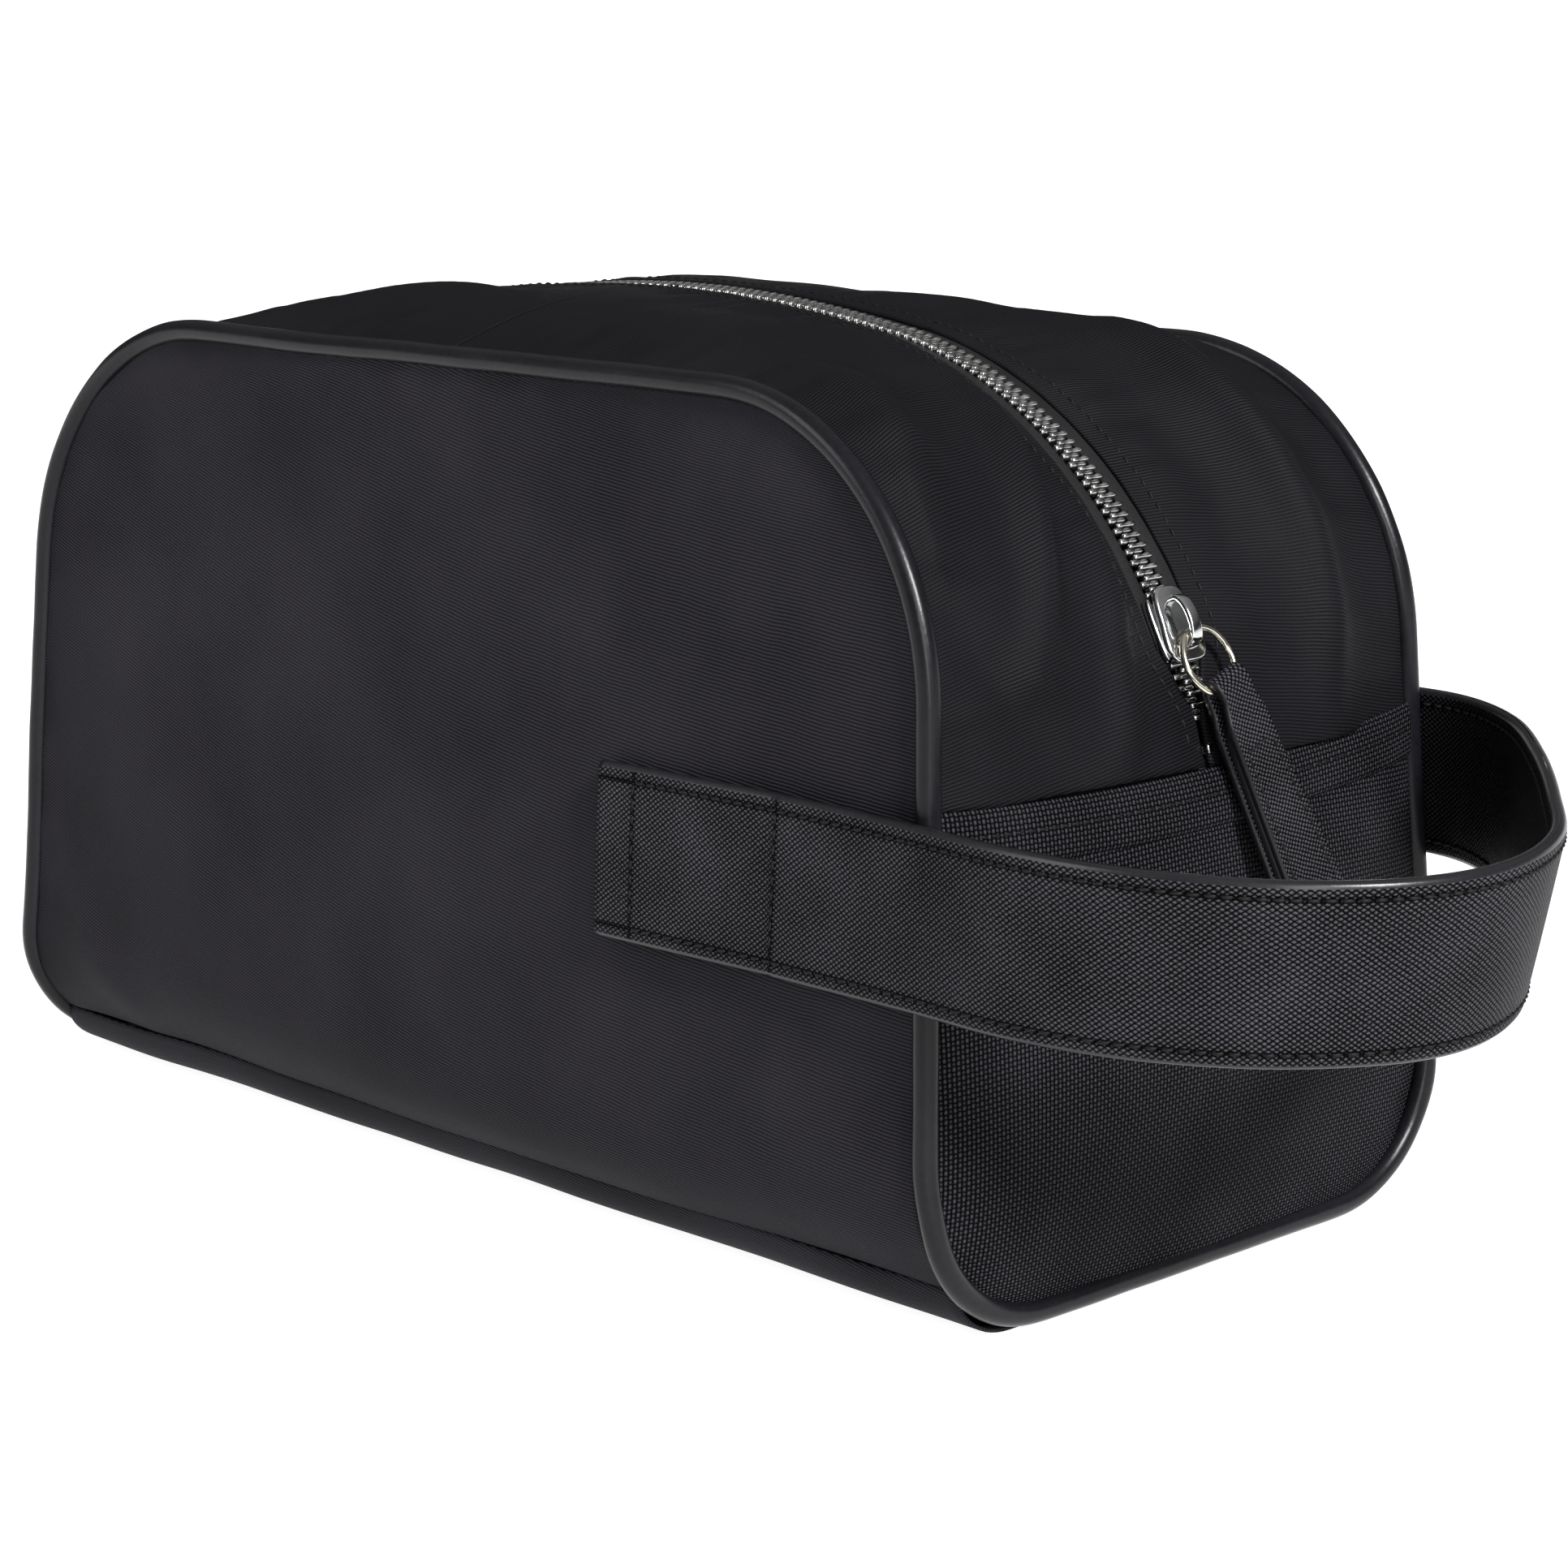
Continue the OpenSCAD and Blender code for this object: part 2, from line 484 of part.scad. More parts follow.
front_panel();
back_panel();
bottom_panel();
end_panel_right();
end_panel_left();
end_hem_right();
end_hem_left();
corner_gusset_front_right();
corner_gusset_front_left();
corner_gusset_back_right();
corner_gusset_back_left();
top_flap_front();
top_flap_back();
flap_lining_front();
flap_lining_back();
corner_linings();
front_foam();
back_foam();
bottom_board();
lining_front();
lining_back();
lining_bottom();
lining_end_right();
lining_end_left();
piping_cover();
piping_cord();
zip_tape_top_front();
zip_tape_top_back();
zip_tape_ends();
zip_teeth_top_front();
zip_teeth_top_back();
zip_teeth_ends();
zip_stops();
slider_body();
slider_bail();
pull_ring();
puller_leather();
puller_filler();
strap_tab_front();
strap_tab_back();
strap_flex_front();
strap_flex_back();
strap_loop_outer();
strap_loop_inner();
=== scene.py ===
"""Looks of a boxy zip wash bag: nylon body, canvas ends, leather carry loop, metal zip.

Shapes are worked out in millimetres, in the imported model's frame, and made in metres.
"""
import math

import bpy
import numpy as np
from mathutils import Matrix, Vector, noise


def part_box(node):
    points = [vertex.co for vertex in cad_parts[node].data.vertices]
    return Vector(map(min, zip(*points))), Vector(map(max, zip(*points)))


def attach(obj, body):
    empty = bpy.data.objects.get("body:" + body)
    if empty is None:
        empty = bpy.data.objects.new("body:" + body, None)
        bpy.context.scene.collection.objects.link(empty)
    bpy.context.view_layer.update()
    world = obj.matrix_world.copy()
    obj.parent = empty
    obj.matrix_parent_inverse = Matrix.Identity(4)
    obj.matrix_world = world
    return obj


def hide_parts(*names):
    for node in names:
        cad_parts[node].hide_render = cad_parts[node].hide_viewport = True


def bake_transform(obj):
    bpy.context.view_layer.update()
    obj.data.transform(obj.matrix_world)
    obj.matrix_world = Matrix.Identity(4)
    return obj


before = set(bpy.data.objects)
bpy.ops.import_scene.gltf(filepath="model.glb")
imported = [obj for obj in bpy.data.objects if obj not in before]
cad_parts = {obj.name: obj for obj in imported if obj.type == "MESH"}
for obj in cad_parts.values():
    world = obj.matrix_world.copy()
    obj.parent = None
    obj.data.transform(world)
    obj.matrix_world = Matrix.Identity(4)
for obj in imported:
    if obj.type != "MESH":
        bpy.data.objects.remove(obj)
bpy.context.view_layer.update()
MM = 0.001
scene = bpy.context.scene


def node_box(name):
    """Lowest and highest corners of a CAD node, in millimetres."""
    low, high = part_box(name)
    return np.array(low) / MM, np.array(high) / MM


def from_bag(azimuth, elevation):
    """Direction away from the bag: degrees round from its front to its right, and up."""
    az, el = math.radians(azimuth), math.radians(elevation)
    return Vector((math.sin(az) * math.cos(el), -math.cos(az) * math.cos(el), math.sin(el)))


def smooth01(x):
    c = np.clip(x, 0, 1)
    return c * c * (3 - 2 * c)


def hump(x, width):
    return np.exp(-(x / width) ** 2)


def blunt(x, power):
    """Keeps a sine's sign and fills out its round, so that a circle turns towards a square."""
    return np.sign(x) * abs(x) ** power


def in_row(low, high, count):
    return np.linspace(low, high, count)[None, :]


def in_column(low, high, count):
    return np.linspace(low, high, count)[:, None]


def stacked(*parts):
    """Points with these coordinates, each spread over the others' rows and columns."""
    return np.stack(np.broadcast_arrays(*parts), -1)


# ---- camera
CAM_AZ, CAM_EL = 45.7, 11.6            # degrees, seen from the front right
CAM_AT = np.array([540.0, -500.0, 219.0]) * MM
CAM_LENS = 87.6


def make_camera():
    data = bpy.data.cameras.new("camera")
    data.lens = CAM_LENS
    data.sensor_width = 36
    cam = bpy.data.objects.new("camera", data)
    cam.rotation_euler = from_bag(CAM_AZ, CAM_EL).to_track_quat("Z", "Y").to_euler()
    cam.location = CAM_AT
    scene.collection.objects.link(cam)
    scene.camera = cam


make_camera()

# ---- shape of the bag, from the frame
pipe_low, pipe_high = node_box("piping_cover")
PIPE_R = 2.2
SEAM_Z = 90.0                          # seam between an end panel and the top band
PIPE_Z = pipe_low[2] + PIPE_R
BODY_H = pipe_high[2] - PIPE_R
CORNER_R, FOOT_R = 52.0, 26.0
WALL_LEAN, END_TAPER = 0.054, 0.05
BASE_HALF = 69.0                       # half depth of the wall's line at the ground
SHOULDER_Z = BODY_H - CORNER_R
SHOULDER_X = 131.0 - END_TAPER * SHOULDER_Z
CORNER_X = SHOULDER_X - CORNER_R
FOOT_Z = PIPE_Z + FOOT_R
FOOT_Y = BASE_HALF - WALL_LEAN * FOOT_Z - FOOT_R
FRONT_CROWN, END_CROWN, BAND_PUFF = 4.0, 9.0, 3.0
FULL_Z = 50.0                          # height where the end panels bulge most
SKIN = 0.4                             # the outer cloth lies this far outside the piping's centre
BOTTOM_SEAM_Z = FOOT_Z - FOOT_R * math.sin(math.radians(45))

ZIP_R, ZIP_X, ZIP_SEAM, ZIP_TOP = 92.0, 42.0, 12.5, 80.0
ZIP_H = 166.0
ZIP_Z = SEAM_Z - ZIP_R * math.sin(math.radians(ZIP_SEAM)) + 0.4
ZIP_BIG_R = ZIP_R + ZIP_X / math.cos(math.radians(ZIP_TOP))
ZIP_BIG_Z = ZIP_H - ZIP_BIG_R
ZIP_TOP_RUN = ZIP_BIG_R * math.radians(90 - ZIP_TOP)
ZIP_RUN = ZIP_TOP_RUN + ZIP_R * math.radians(ZIP_TOP - ZIP_SEAM)
PIPE_FLAT, PIPE_ARC = CORNER_X, CORNER_R * math.pi / 2
PIPE_RUN = PIPE_FLAT + PIPE_ARC + SHOULDER_Z - SEAM_Z
ZIP_GAP, GAP_CLOSES = 13.5, 5.4         # between the folds, and how far each closes up at the ends
SLIDER_ANGLE = 28.0
SLIDER_T = (ZIP_TOP_RUN + math.radians(ZIP_TOP - SLIDER_ANGLE) * ZIP_R) / ZIP_RUN


def half_depth(z):
    z = np.asarray(z, float)
    foot = FOOT_Y + np.sqrt(np.maximum(0, FOOT_R ** 2 - (FOOT_Z - z) ** 2))
    return np.where(z < FOOT_Z, foot, BASE_HALF - WALL_LEAN * z)


def half_len(z):
    z = np.asarray(z, float)
    arc = CORNER_X + np.sqrt(np.maximum(0, CORNER_R ** 2 - (z - SHOULDER_Z) ** 2))
    return np.where(z < SHOULDER_Z, SHOULDER_X + END_TAPER * (SHOULDER_Z - z), arc)


def front_point(u, z, inset=0.0, out=SKIN):
    """Point on the front panel: u runs from -1 to 1 across it, z is the height."""
    v = np.clip((z - BOTTOM_SEAM_Z) / (BODY_H - BOTTOM_SEAM_Z), 0, 1)
    bulge = FRONT_CROWN * (1 - u * u) * np.sin(math.pi * v) ** 0.7
    return stacked(u * (half_len(z) - inset), -(half_depth(z) + out + bulge), z)


def end_swell(z):
    """How far the end panel bulges at each height."""
    low = END_CROWN * np.sin(np.pi / 2 * np.clip((z - PIPE_Z) / (FULL_Z - PIPE_Z), 0, 1))
    return np.where(z < FULL_Z, low, END_CROWN - 3.5 * ((z - FULL_Z) / (SEAM_Z - FULL_Z)) ** 2)


def end_point(w, z, inset=0.0, out=SKIN):
    """Point on the right end panel: w runs from -1 at the front to 1 at the back."""
    x = half_len(z) + out + end_swell(z) * np.maximum(0, 1 - w * w) ** 0.8
    return stacked(x, w * (half_depth(z) - inset), z)


def pipe_line(t):
    """Piping over the top in the XZ plane; t is 0 at the middle and 1 at the end seam."""
    s, d = np.abs(t) * PIPE_RUN, np.where(np.asarray(t) < 0, -1, 1)
    a = np.pi / 2 - np.clip((s - PIPE_FLAT) / CORNER_R, 0, np.pi / 2)
    z_side = SHOULDER_Z - np.maximum(0, s - PIPE_FLAT - PIPE_ARC)
    x = np.where(s < PIPE_FLAT, s, np.where(s < PIPE_FLAT + PIPE_ARC,
                 CORNER_X + CORNER_R * np.cos(a), half_len(z_side)))
    z = np.where(s < PIPE_FLAT, BODY_H, np.where(s < PIPE_FLAT + PIPE_ARC,
                 SHOULDER_Z + CORNER_R * np.sin(a), z_side))
    return d * x, z


def zip_angle(t):
    s = np.abs(t) * ZIP_RUN
    return np.where(s < ZIP_TOP_RUN, np.pi / 2 - s / ZIP_BIG_R,
                    math.radians(ZIP_TOP) - (s - ZIP_TOP_RUN) / ZIP_R)


def zip_line(t, lift=0.0):
    """Zip's centre line in the XZ plane, raised by lift along its outward normal."""
    a, d = zip_angle(t), np.where(np.asarray(t) < 0, -1, 1)
    top = np.abs(t) * ZIP_RUN < ZIP_TOP_RUN
    x = np.where(top, (ZIP_BIG_R + lift) * np.cos(a), ZIP_X + (ZIP_R + lift) * np.cos(a))
    z = np.where(top, ZIP_BIG_Z + (ZIP_BIG_R + lift) * np.sin(a), ZIP_Z + (ZIP_R + lift) * np.sin(a))
    return d * x, z


def zip_at(t, lift=0.0):
    return tuple(float(c) for c in zip_line(t, lift))


def half_gap(t):
    """The two nylon folds close up over the zip's ends, past the slider."""
    return ZIP_GAP / 2 - GAP_CLOSES * smooth01((np.abs(t) - SLIDER_T) / (0.75 * (1 - SLIDER_T)))


def band_point(t, s, lift=0.0):
    """Point on the front half of the top band: s is 0 at the piping and 1 at the zip fold."""
    (fx, fz), (qx, qz), a = pipe_line(t), zip_line(t), zip_angle(t)
    d = np.where(np.asarray(t) < 0, -1, 1)
    puff = BAND_PUFF * np.sin(np.pi * np.clip(s, 0, 1)) + lift
    y = -(half_depth(fz) * (1 - s) + half_gap(t) * s)
    return stacked(fx * (1 - s) + qx * s + d * puff * np.cos(a), y,
                     fz * (1 - s) + qz * s + puff * np.sin(a))


# ---- mesh helpers
def link_mesh(name, verts, faces, material, coords=None):
    mesh = bpy.data.meshes.new(name)
    mesh.from_pydata((np.asarray(verts, float) * MM).tolist(), [], faces)
    for item in material if isinstance(material, (list, tuple)) else [material]:
        mesh.materials.append(item)
    if coords is not None:
        layer = mesh.attributes.new("cloth", "FLOAT_VECTOR", "POINT")
        flat = np.zeros((len(verts), 3), np.float32)
        flat[:, :np.shape(coords)[1]] = coords
        layer.data.foreach_set("vector", flat.ravel())
    mesh.polygons.foreach_set("use_smooth", [True] * len(mesh.polygons))
    mesh.update()
    obj = bpy.data.objects.new(name, mesh)
    scene.collection.objects.link(obj)
    return obj


def grid_normals(pts):
    across, along = np.gradient(pts, axis=1), np.gradient(pts, axis=0)
    n = np.cross(across, along)
    return n / np.maximum(np.linalg.norm(n, axis=-1, keepdims=True), 1e-9)


def run_along(points):
    """Distance of each point along a polyline."""
    return np.concatenate([[0], np.cumsum(np.linalg.norm(np.diff(points, axis=0), axis=1))])


def run_lengths(pts):
    """Distances along the rows and along the columns of a grid, measured from its middle."""
    rows = np.linalg.norm(np.diff(pts, axis=1), axis=-1)
    cols = np.linalg.norm(np.diff(pts, axis=0), axis=-1)
    u = np.concatenate([np.zeros((pts.shape[0], 1)), np.cumsum(rows, 1)], 1)
    v = np.concatenate([np.zeros((1, pts.shape[1])), np.cumsum(cols, 0)], 0)
    return stacked(u - u[:, -1:] / 2, v - v[-1:, :] / 2)


def cloth(name, pts, material, thick=0.7, push=None, coords=None):
    """Closed sheet under a grid of surface points. push(pts, coords) moves it along its normals."""
    coords = run_lengths(pts) if coords is None else coords
    if push is not None:
        pts = pts + push(pts, coords)[..., None] * grid_normals(pts)
    n, m = pts.shape[:2]
    inner = pts - thick * grid_normals(pts)
    verts = np.concatenate([pts.reshape(-1, 3), inner.reshape(-1, 3)])
    k = n * m
    at = np.arange(k).reshape(n, m)
    a, b, c, d = at[:-1, :-1], at[:-1, 1:], at[1:, 1:], at[1:, :-1]
    quads = stacked(a, b, c, d).reshape(-1, 4)
    ring = np.concatenate([at[0, :], at[1:, -1], at[-1, -2::-1], at[-2:0:-1, 0]])
    nxt = np.roll(ring, -1)
    rim = stacked(ring, ring + k, nxt + k, nxt)
    faces = np.concatenate([quads, quads[:, ::-1] + k, rim]).tolist()
    flat = coords.reshape(-1, 2)
    return link_mesh(name, verts, faces, material, np.concatenate([flat, flat]))


def reflect(mesh, axis):
    """Turns a mesh over, across the plane at 0 on the axis."""
    mesh.transform(Matrix.Scale(-1, 4, Vector([float(i == axis) for i in range(3)])))
    mesh.flip_normals()


def mirrored(obj, name):
    """Copy of a mesh object at the other end of the bag."""
    mesh = obj.data.copy()
    mesh.name = name
    reflect(mesh, 0)
    other = bpy.data.objects.new(name, mesh)
    scene.collection.objects.link(other)
    return other


def quarter(make, name, mirror_x, mirror_y, *args):
    """Builds a piece at the front right and reflects it into place."""
    obj = make(name, *args)
    for axis, wanted in enumerate((mirror_x, mirror_y)):
        if wanted:
            reflect(obj.data, axis)
    obj.data.update()
    return obj


def ring_faces(rings, sides, base=0, closed=False):
    """Skin over a stack of rings of points, with a cap at both ends unless they meet."""
    faces = []
    for i in range(rings if closed else rings - 1):
        p, q = base + i * sides, base + (i + 1) % rings * sides
        faces += [(p + j, p + (j + 1) % sides, q + (j + 1) % sides, q + j) for j in range(sides)]
    if not closed:
        last = base + (rings - 1) * sides
        faces += [tuple(range(base, base + sides))[::-1], tuple(range(last, last + sides))]
    return faces


def tube(name, path, outs, section, material, closed=False, coords=None):
    """Section points [outward, sideways] carried along a path with given outward directions."""
    path, outs = np.asarray(path, float), np.asarray(outs, float)
    if closed:
        along = np.roll(path, -1, 0) - np.roll(path, 1, 0)
    else:
        along = np.gradient(path, axis=0)
    along /= np.linalg.norm(along, axis=1, keepdims=True)
    outs = outs - (outs * along).sum(1, keepdims=True) * along
    outs /= np.linalg.norm(outs, axis=1, keepdims=True)
    side = np.cross(along, outs)
    section = np.asarray(section, float)
    if section.ndim == 2:
        section = np.repeat(section[None], len(path), 0)
    verts = path[:, None] + section[..., :1] * outs[:, None] + section[..., 1:] * side[:, None]
    n, m = verts.shape[:2]
    if coords is None:
        coords = stacked(np.repeat(run_along(path), m), np.tile(np.arange(m), n))
    return link_mesh(name, verts.reshape(-1, 3), ring_faces(n, m, closed=closed), material, coords)


def circle(radius, count):
    a = np.arange(count) / count * 2 * np.pi
    return stacked(radius * np.cos(a), radius * np.sin(a))


def resample(points, step):
    """Points every step along a polyline, and the fractional index of each."""
    points = np.asarray(points, float)
    run = run_along(points)
    want = np.arange(0, run[-1], step)
    index = np.interp(want, run, np.arange(len(points)))
    return np.stack([np.interp(want, run, points[:, k]) for k in range(3)], -1), index


STITCH_LIFT = 0.05


def stitches(name, line, normals, pitch=2.6, length=2.1, radius=0.26):
    """A row of thread stitches: each a short rounded bead of thread that dives in at both ends."""
    start, index = resample(line, pitch)
    verts, faces = [], []
    rings, sides = 6, 6
    for k in range(len(start) - 1):
        a, b = start[k], start[k + 1]
        n = np.array([np.interp(index[k], np.arange(len(normals)), normals[:, c]) for c in range(3)])
        n /= np.linalg.norm(n)
        along = (b - a) / np.linalg.norm(b - a)
        side = np.cross(n, along)
        for f in np.linspace(-1, 1, rings):
            rad = radius * math.sqrt(max(0.0, 1 - 0.75 * f * f))
            centre = (a + b) / 2 + along * f * length / 2 + n * (STITCH_LIFT - 1.05 * radius * f * f)
            for c, s in circle(rad, sides):
                verts.append(centre + c * n + s * side)
        faces += ring_faces(rings, sides, k * rings * sides)
    return link_mesh(name, verts, faces, THREAD)


def joined(name, parts):
    """One object from several mesh objects that share their materials."""
    bpy.ops.object.select_all(action="DESELECT")
    for part in parts:
        part.select_set(True)
    bpy.context.view_layer.objects.active = parts[0]
    bpy.ops.object.join()
    parts[0].name = parts[0].data.name = name
    return parts[0]


def ripple(pts, size, seed):
    """Smooth noise between about -1 and 1 at every point of a grid."""
    flat = pts.reshape(-1, 3) / size + seed
    return np.array([noise.noise(Vector(p)) for p in flat]).reshape(pts.shape[:-1])


def crease(coords, a, b, width, height):
    """A soft fold along the segment a-b in cloth coordinates: a ridge, or a valley if negative."""
    a, b = np.array(a, float), np.array(b, float)
    ab = b - a
    f = np.clip(((coords - a) @ ab) / (ab @ ab), 0, 1)
    away = np.linalg.norm(coords - (a + f[..., None] * ab), axis=-1)
    fade = np.sin(np.pi * np.clip(0.08 + 0.84 * f, 0, 1)) ** 0.7
    return height * fade * hump(away, width)


# ---- materials
class Value:
    """A number inside a material: sums on it become math nodes."""

    def __init__(self, sh, socket):
        self.sh, self.socket = sh, socket

    def __add__(self, other):
        return self.sh.math("ADD", self, other)

    def __sub__(self, other):
        return self.sh.math("SUBTRACT", self, other)

    def __rsub__(self, other):
        return self.sh.math("SUBTRACT", other, self)

    def __mul__(self, other):
        return self.sh.math("MULTIPLY", self, other)


class Shader:
    """A material whose nodes are written as short expressions."""

    def __init__(self, name, rough, **sockets):
        self.mat = bpy.data.materials.new(name)
        self.mat.use_nodes = True
        self.tree = self.mat.node_tree
        self.bsdf = self.tree.nodes["Principled BSDF"]
        for key, value in {"Roughness": rough, **sockets}.items():
            self.bsdf.inputs[key.replace("_", " ")].default_value = value

    def node(self, kind, **inputs):
        made = self.tree.nodes.new(kind)
        for key, value in inputs.items():
            self.feed(made.inputs[key], value)
        return made

    def feed(self, socket, value):
        if isinstance(value, Value):
            value = value.socket
        if isinstance(value, bpy.types.NodeSocket):
            self.tree.links.new(value, socket)
        else:
            socket.default_value = value

    def math(self, operation, a, b=0.0):
        made = self.tree.nodes.new("ShaderNodeMath")
        made.operation = operation
        self.feed(made.inputs[0], a)
        self.feed(made.inputs[1], b)
        return Value(self, made.outputs[0])

    def cloth_mm(self):
        """The cloth's own coordinates, in millimetres."""
        made = self.node("ShaderNodeAttribute")
        made.attribute_name = "cloth"
        split = self.node("ShaderNodeSeparateXYZ", Vector=made.outputs["Vector"])
        return made.outputs["Vector"], Value(self, split.outputs["X"]), Value(self, split.outputs["Y"])

    def place(self):
        return self.node("ShaderNodeTexCoord").outputs["Object"]

    def noise(self, vector, scale, detail=3.0):
        made = self.node("ShaderNodeTexNoise", Vector=vector, Scale=scale, Detail=detail, Roughness=0.5)
        return Value(self, made.outputs["Fac"])

    def wave(self, value, period):
        """Sine of a distance in millimetres, from 0 to 1."""
        return self.math("SINE", value * (2 * math.pi / period)) * 0.5 + 0.5

    def humps(self, value, period):
        """Rounded humps with a sharp valley every period."""
        return self.math("ABSOLUTE", self.math("SINE", value * (math.pi / period)))

    def ramp(self, fac, low, high, colour_a, colour_b):
        made = self.node("ShaderNodeValToRGB", Fac=fac)
        for stop, place, colour in zip(made.color_ramp.elements, (low, high), (colour_a, colour_b)):
            stop.position = place
            stop.color = (*colour, 1)
        return made.outputs["Color"]

    def span(self, value, low, high):
        made = self.tree.nodes.new("ShaderNodeMapRange")
        for socket, item in zip(made.inputs, (value, 0.0, 1.0, low, high)):
            self.feed(socket, item)
        return made.outputs["Result"]

    def finish(self, colour, height, depth_mm, rough=None):
        self.feed(self.bsdf.inputs["Base Color"], colour)
        if rough is not None:
            self.feed(self.bsdf.inputs["Roughness"], rough)
        bump = self.node("ShaderNodeBump", Height=height, Strength=1.0, Distance=depth_mm * MM)
        self.feed(self.bsdf.inputs["Normal"], bump.outputs["Normal"])
        return self.mat


def make_nylon(name, across, gloss, light):
    """Fine twill: close ribs that lie nearly along the cloth's first axis, or across it; the colour is
    painted darker in the rib valleys as shade and lighter on the crests as sheen.
    """
    sh = Shader(name, 0.46, Specular_IOR_Level=gloss)
    vector, u, v = sh.cloth_mm()
    if across:
        u, v = v, u
    ribs = sh.wave(u * 0.2 + v * 0.98 + sh.noise(vector, 0.08, 2.0) * 0.9, 0.62)
    threads = sh.wave(v * 0.4 + u, 0.42)
    height = ribs * 0.75 + threads * 0.2 + sh.noise(vector, 2.6) * 0.3
    mix = height * 0.6 + sh.noise(vector, 0.025, 4.0) * 0.5
    # painted shade and sheen: the ramp runs from dark in the ribs' hollows to light on their crests, scaled
    # by light
    dark, bright = ([light * c for c in colour]
                    for colour in ((0.003, 0.0026, 0.0036), (0.039, 0.0365, 0.0445)))
    return sh.finish(sh.ramp(mix, 0.3, 0.95, dark, bright), height, 0.11,
                     sh.span(sh.noise(vector, 0.05), 0.46, 0.6))


def make_canvas():
    """Coarse basket weave: floats of warp and weft in turn, with pits between them; the pits are painted
    dark as shade and the floats' tops lighter as highlight.
    """
    sh = Shader("canvas_basket", 0.6, Specular_IOR_Level=0.025)
    vector, u, v = sh.cloth_mm()
    cell = 0.86
    across, along = sh.humps(u, cell), sh.humps(v, cell)
    cells = sh.math("FLOOR", u * (1 / cell)) + sh.math("FLOOR", v * (1 / cell))
    odd = sh.math("FLOORED_MODULO", cells, 2.0)
    warp_up = across * (along * 0.6 + 0.4)
    weft_up = along * across * 0.75
    height = warp_up * odd + weft_up * (1.0 - odd) + sh.noise(vector, 4.0) * 0.16
    broad = sh.noise(vector, 0.05)
    # painted shade and highlight: the colour runs from the pits' shade up to lighter float tops
    colour = sh.ramp(height * 0.72 + broad * 0.3, 0.4, 1.0, PIT_SHADE_AND_DARK_THREAD, (0.05, 0.0478, 0.0565))
    return sh.finish(colour, height, 0.34, sh.span(broad, 0.5, 0.66))


# painted shade: the colour of the darkest hollows in weave and grain, also the thread's darkest tone
PIT_SHADE_AND_DARK_THREAD = (0.0006, 0.0006, 0.0008)      # colour of the darkest hollows
STRAP_STITCH = 12.8     # from the strap's middle to each row of stitches, which lie in a groove


def make_saffiano(name, light, gloss, middle=0.0, rows=()):
    """Cross-grain leather: small raised diamonds between two sets of diagonal grooves, the diamonds painted
    lighter as glints and the grooves darker as shade.

    Stitch grooves run along both edges, and across at each place in rows, counted from both ends; they are
    dented and painted darker as shade.
    """
    sh = Shader(name, 0.36, Specular_IOR_Level=gloss)
    vector, u, v = sh.cloth_mm()
    one = sh.humps(u * 0.82 + v * 1.12 + sh.noise(vector, 0.5, 2.0) * 0.5, 1.05)
    two = sh.humps(u * 0.82 - v * 1.12 + sh.noise(vector, 0.35, 2.0) * 0.5, 1.05)
    from_middle = sh.math("ABSOLUTE", u - middle)
    groove = 0.0
    for place, at in [(sh.math("ABSOLUTE", v), STRAP_STITCH)] + [(from_middle, middle - at) for at in rows]:
        groove = sh.math("MAXIMUM", sh.math("ABSOLUTE", place - at) * -1.5 + 1.0, groove)
    height = sh.noise(vector, 1.7) * 0.6 + sh.math("POWER", one * two, 0.75) * 0.85 - groove * 0.55
    broad = sh.noise(vector, 0.06)
    # painted glints and shade: lighter on the diamonds, darker in the grooves and stitch grooves
    colour = sh.ramp(height * 0.68 + broad * 0.3, 0.52, 1.0, PIT_SHADE_AND_DARK_THREAD, (light, 0.96 * light, 1.1 * light))
    return sh.finish(colour, height, 0.34, sh.span(broad, 0.34, 0.5))


def make_smooth(name, dark, light, rough, depth, scale=900.0, **sockets):
    """Smooth skin with a fine uneven grain: edge paint, piping and thread."""
    sh = Shader(name, rough, **sockets)
    place = sh.place()
    fine, broad = sh.noise(place, scale, 4.0), sh.noise(place, 45.0)
    return sh.finish(sh.ramp(fine * 0.5 + broad * 0.5, 0.3, 0.7, dark, light), fine, depth,
                     sh.span(broad, rough - 0.07, rough + 0.07))


def make_woven(name, dark, light, pitch, rough, depth):
    """Plain fine weave in the cloth's own coordinates."""
    sh = Shader(name, rough, Specular_IOR_Level=0.2)
    vector, u, v = sh.cloth_mm()
    height = sh.wave(u, pitch) * sh.wave(v, pitch)
    broad = sh.noise(vector, 0.08)
    return sh.finish(sh.ramp(height * 0.5 + broad * 0.5, 0.15, 0.8, dark, light), height, depth,
                     sh.span(broad, rough - 0.08, rough + 0.05))


def make_metal(name, dark, light, rough):
    sh = Shader(name, rough, Metallic=1.0)
    place = sh.place()
    fine, broad = sh.noise(place, 1600.0, 4.0), sh.noise(place, 260.0, 4.0)
    return sh.finish(sh.ramp(broad, 0.3, 0.7, dark, light), fine, 0.012,
                     sh.span(fine, rough - 0.06, rough + 0.1))


NYLON = make_nylon("nylon_twill", False, 0.025, 0.7)
# painted shade: the top band's copy of the nylon is made darker, light 0.27 against the panels' 0.7, for the
# shade that falls on the bag's top band
NYLON_BAND_SHADED = make_nylon("nylon_twill_band", True, 0.05, 0.27)
CANVAS = make_canvas()
SAFFIANO = make_saffiano("cross_grain_leather", 0.07, 0.03)
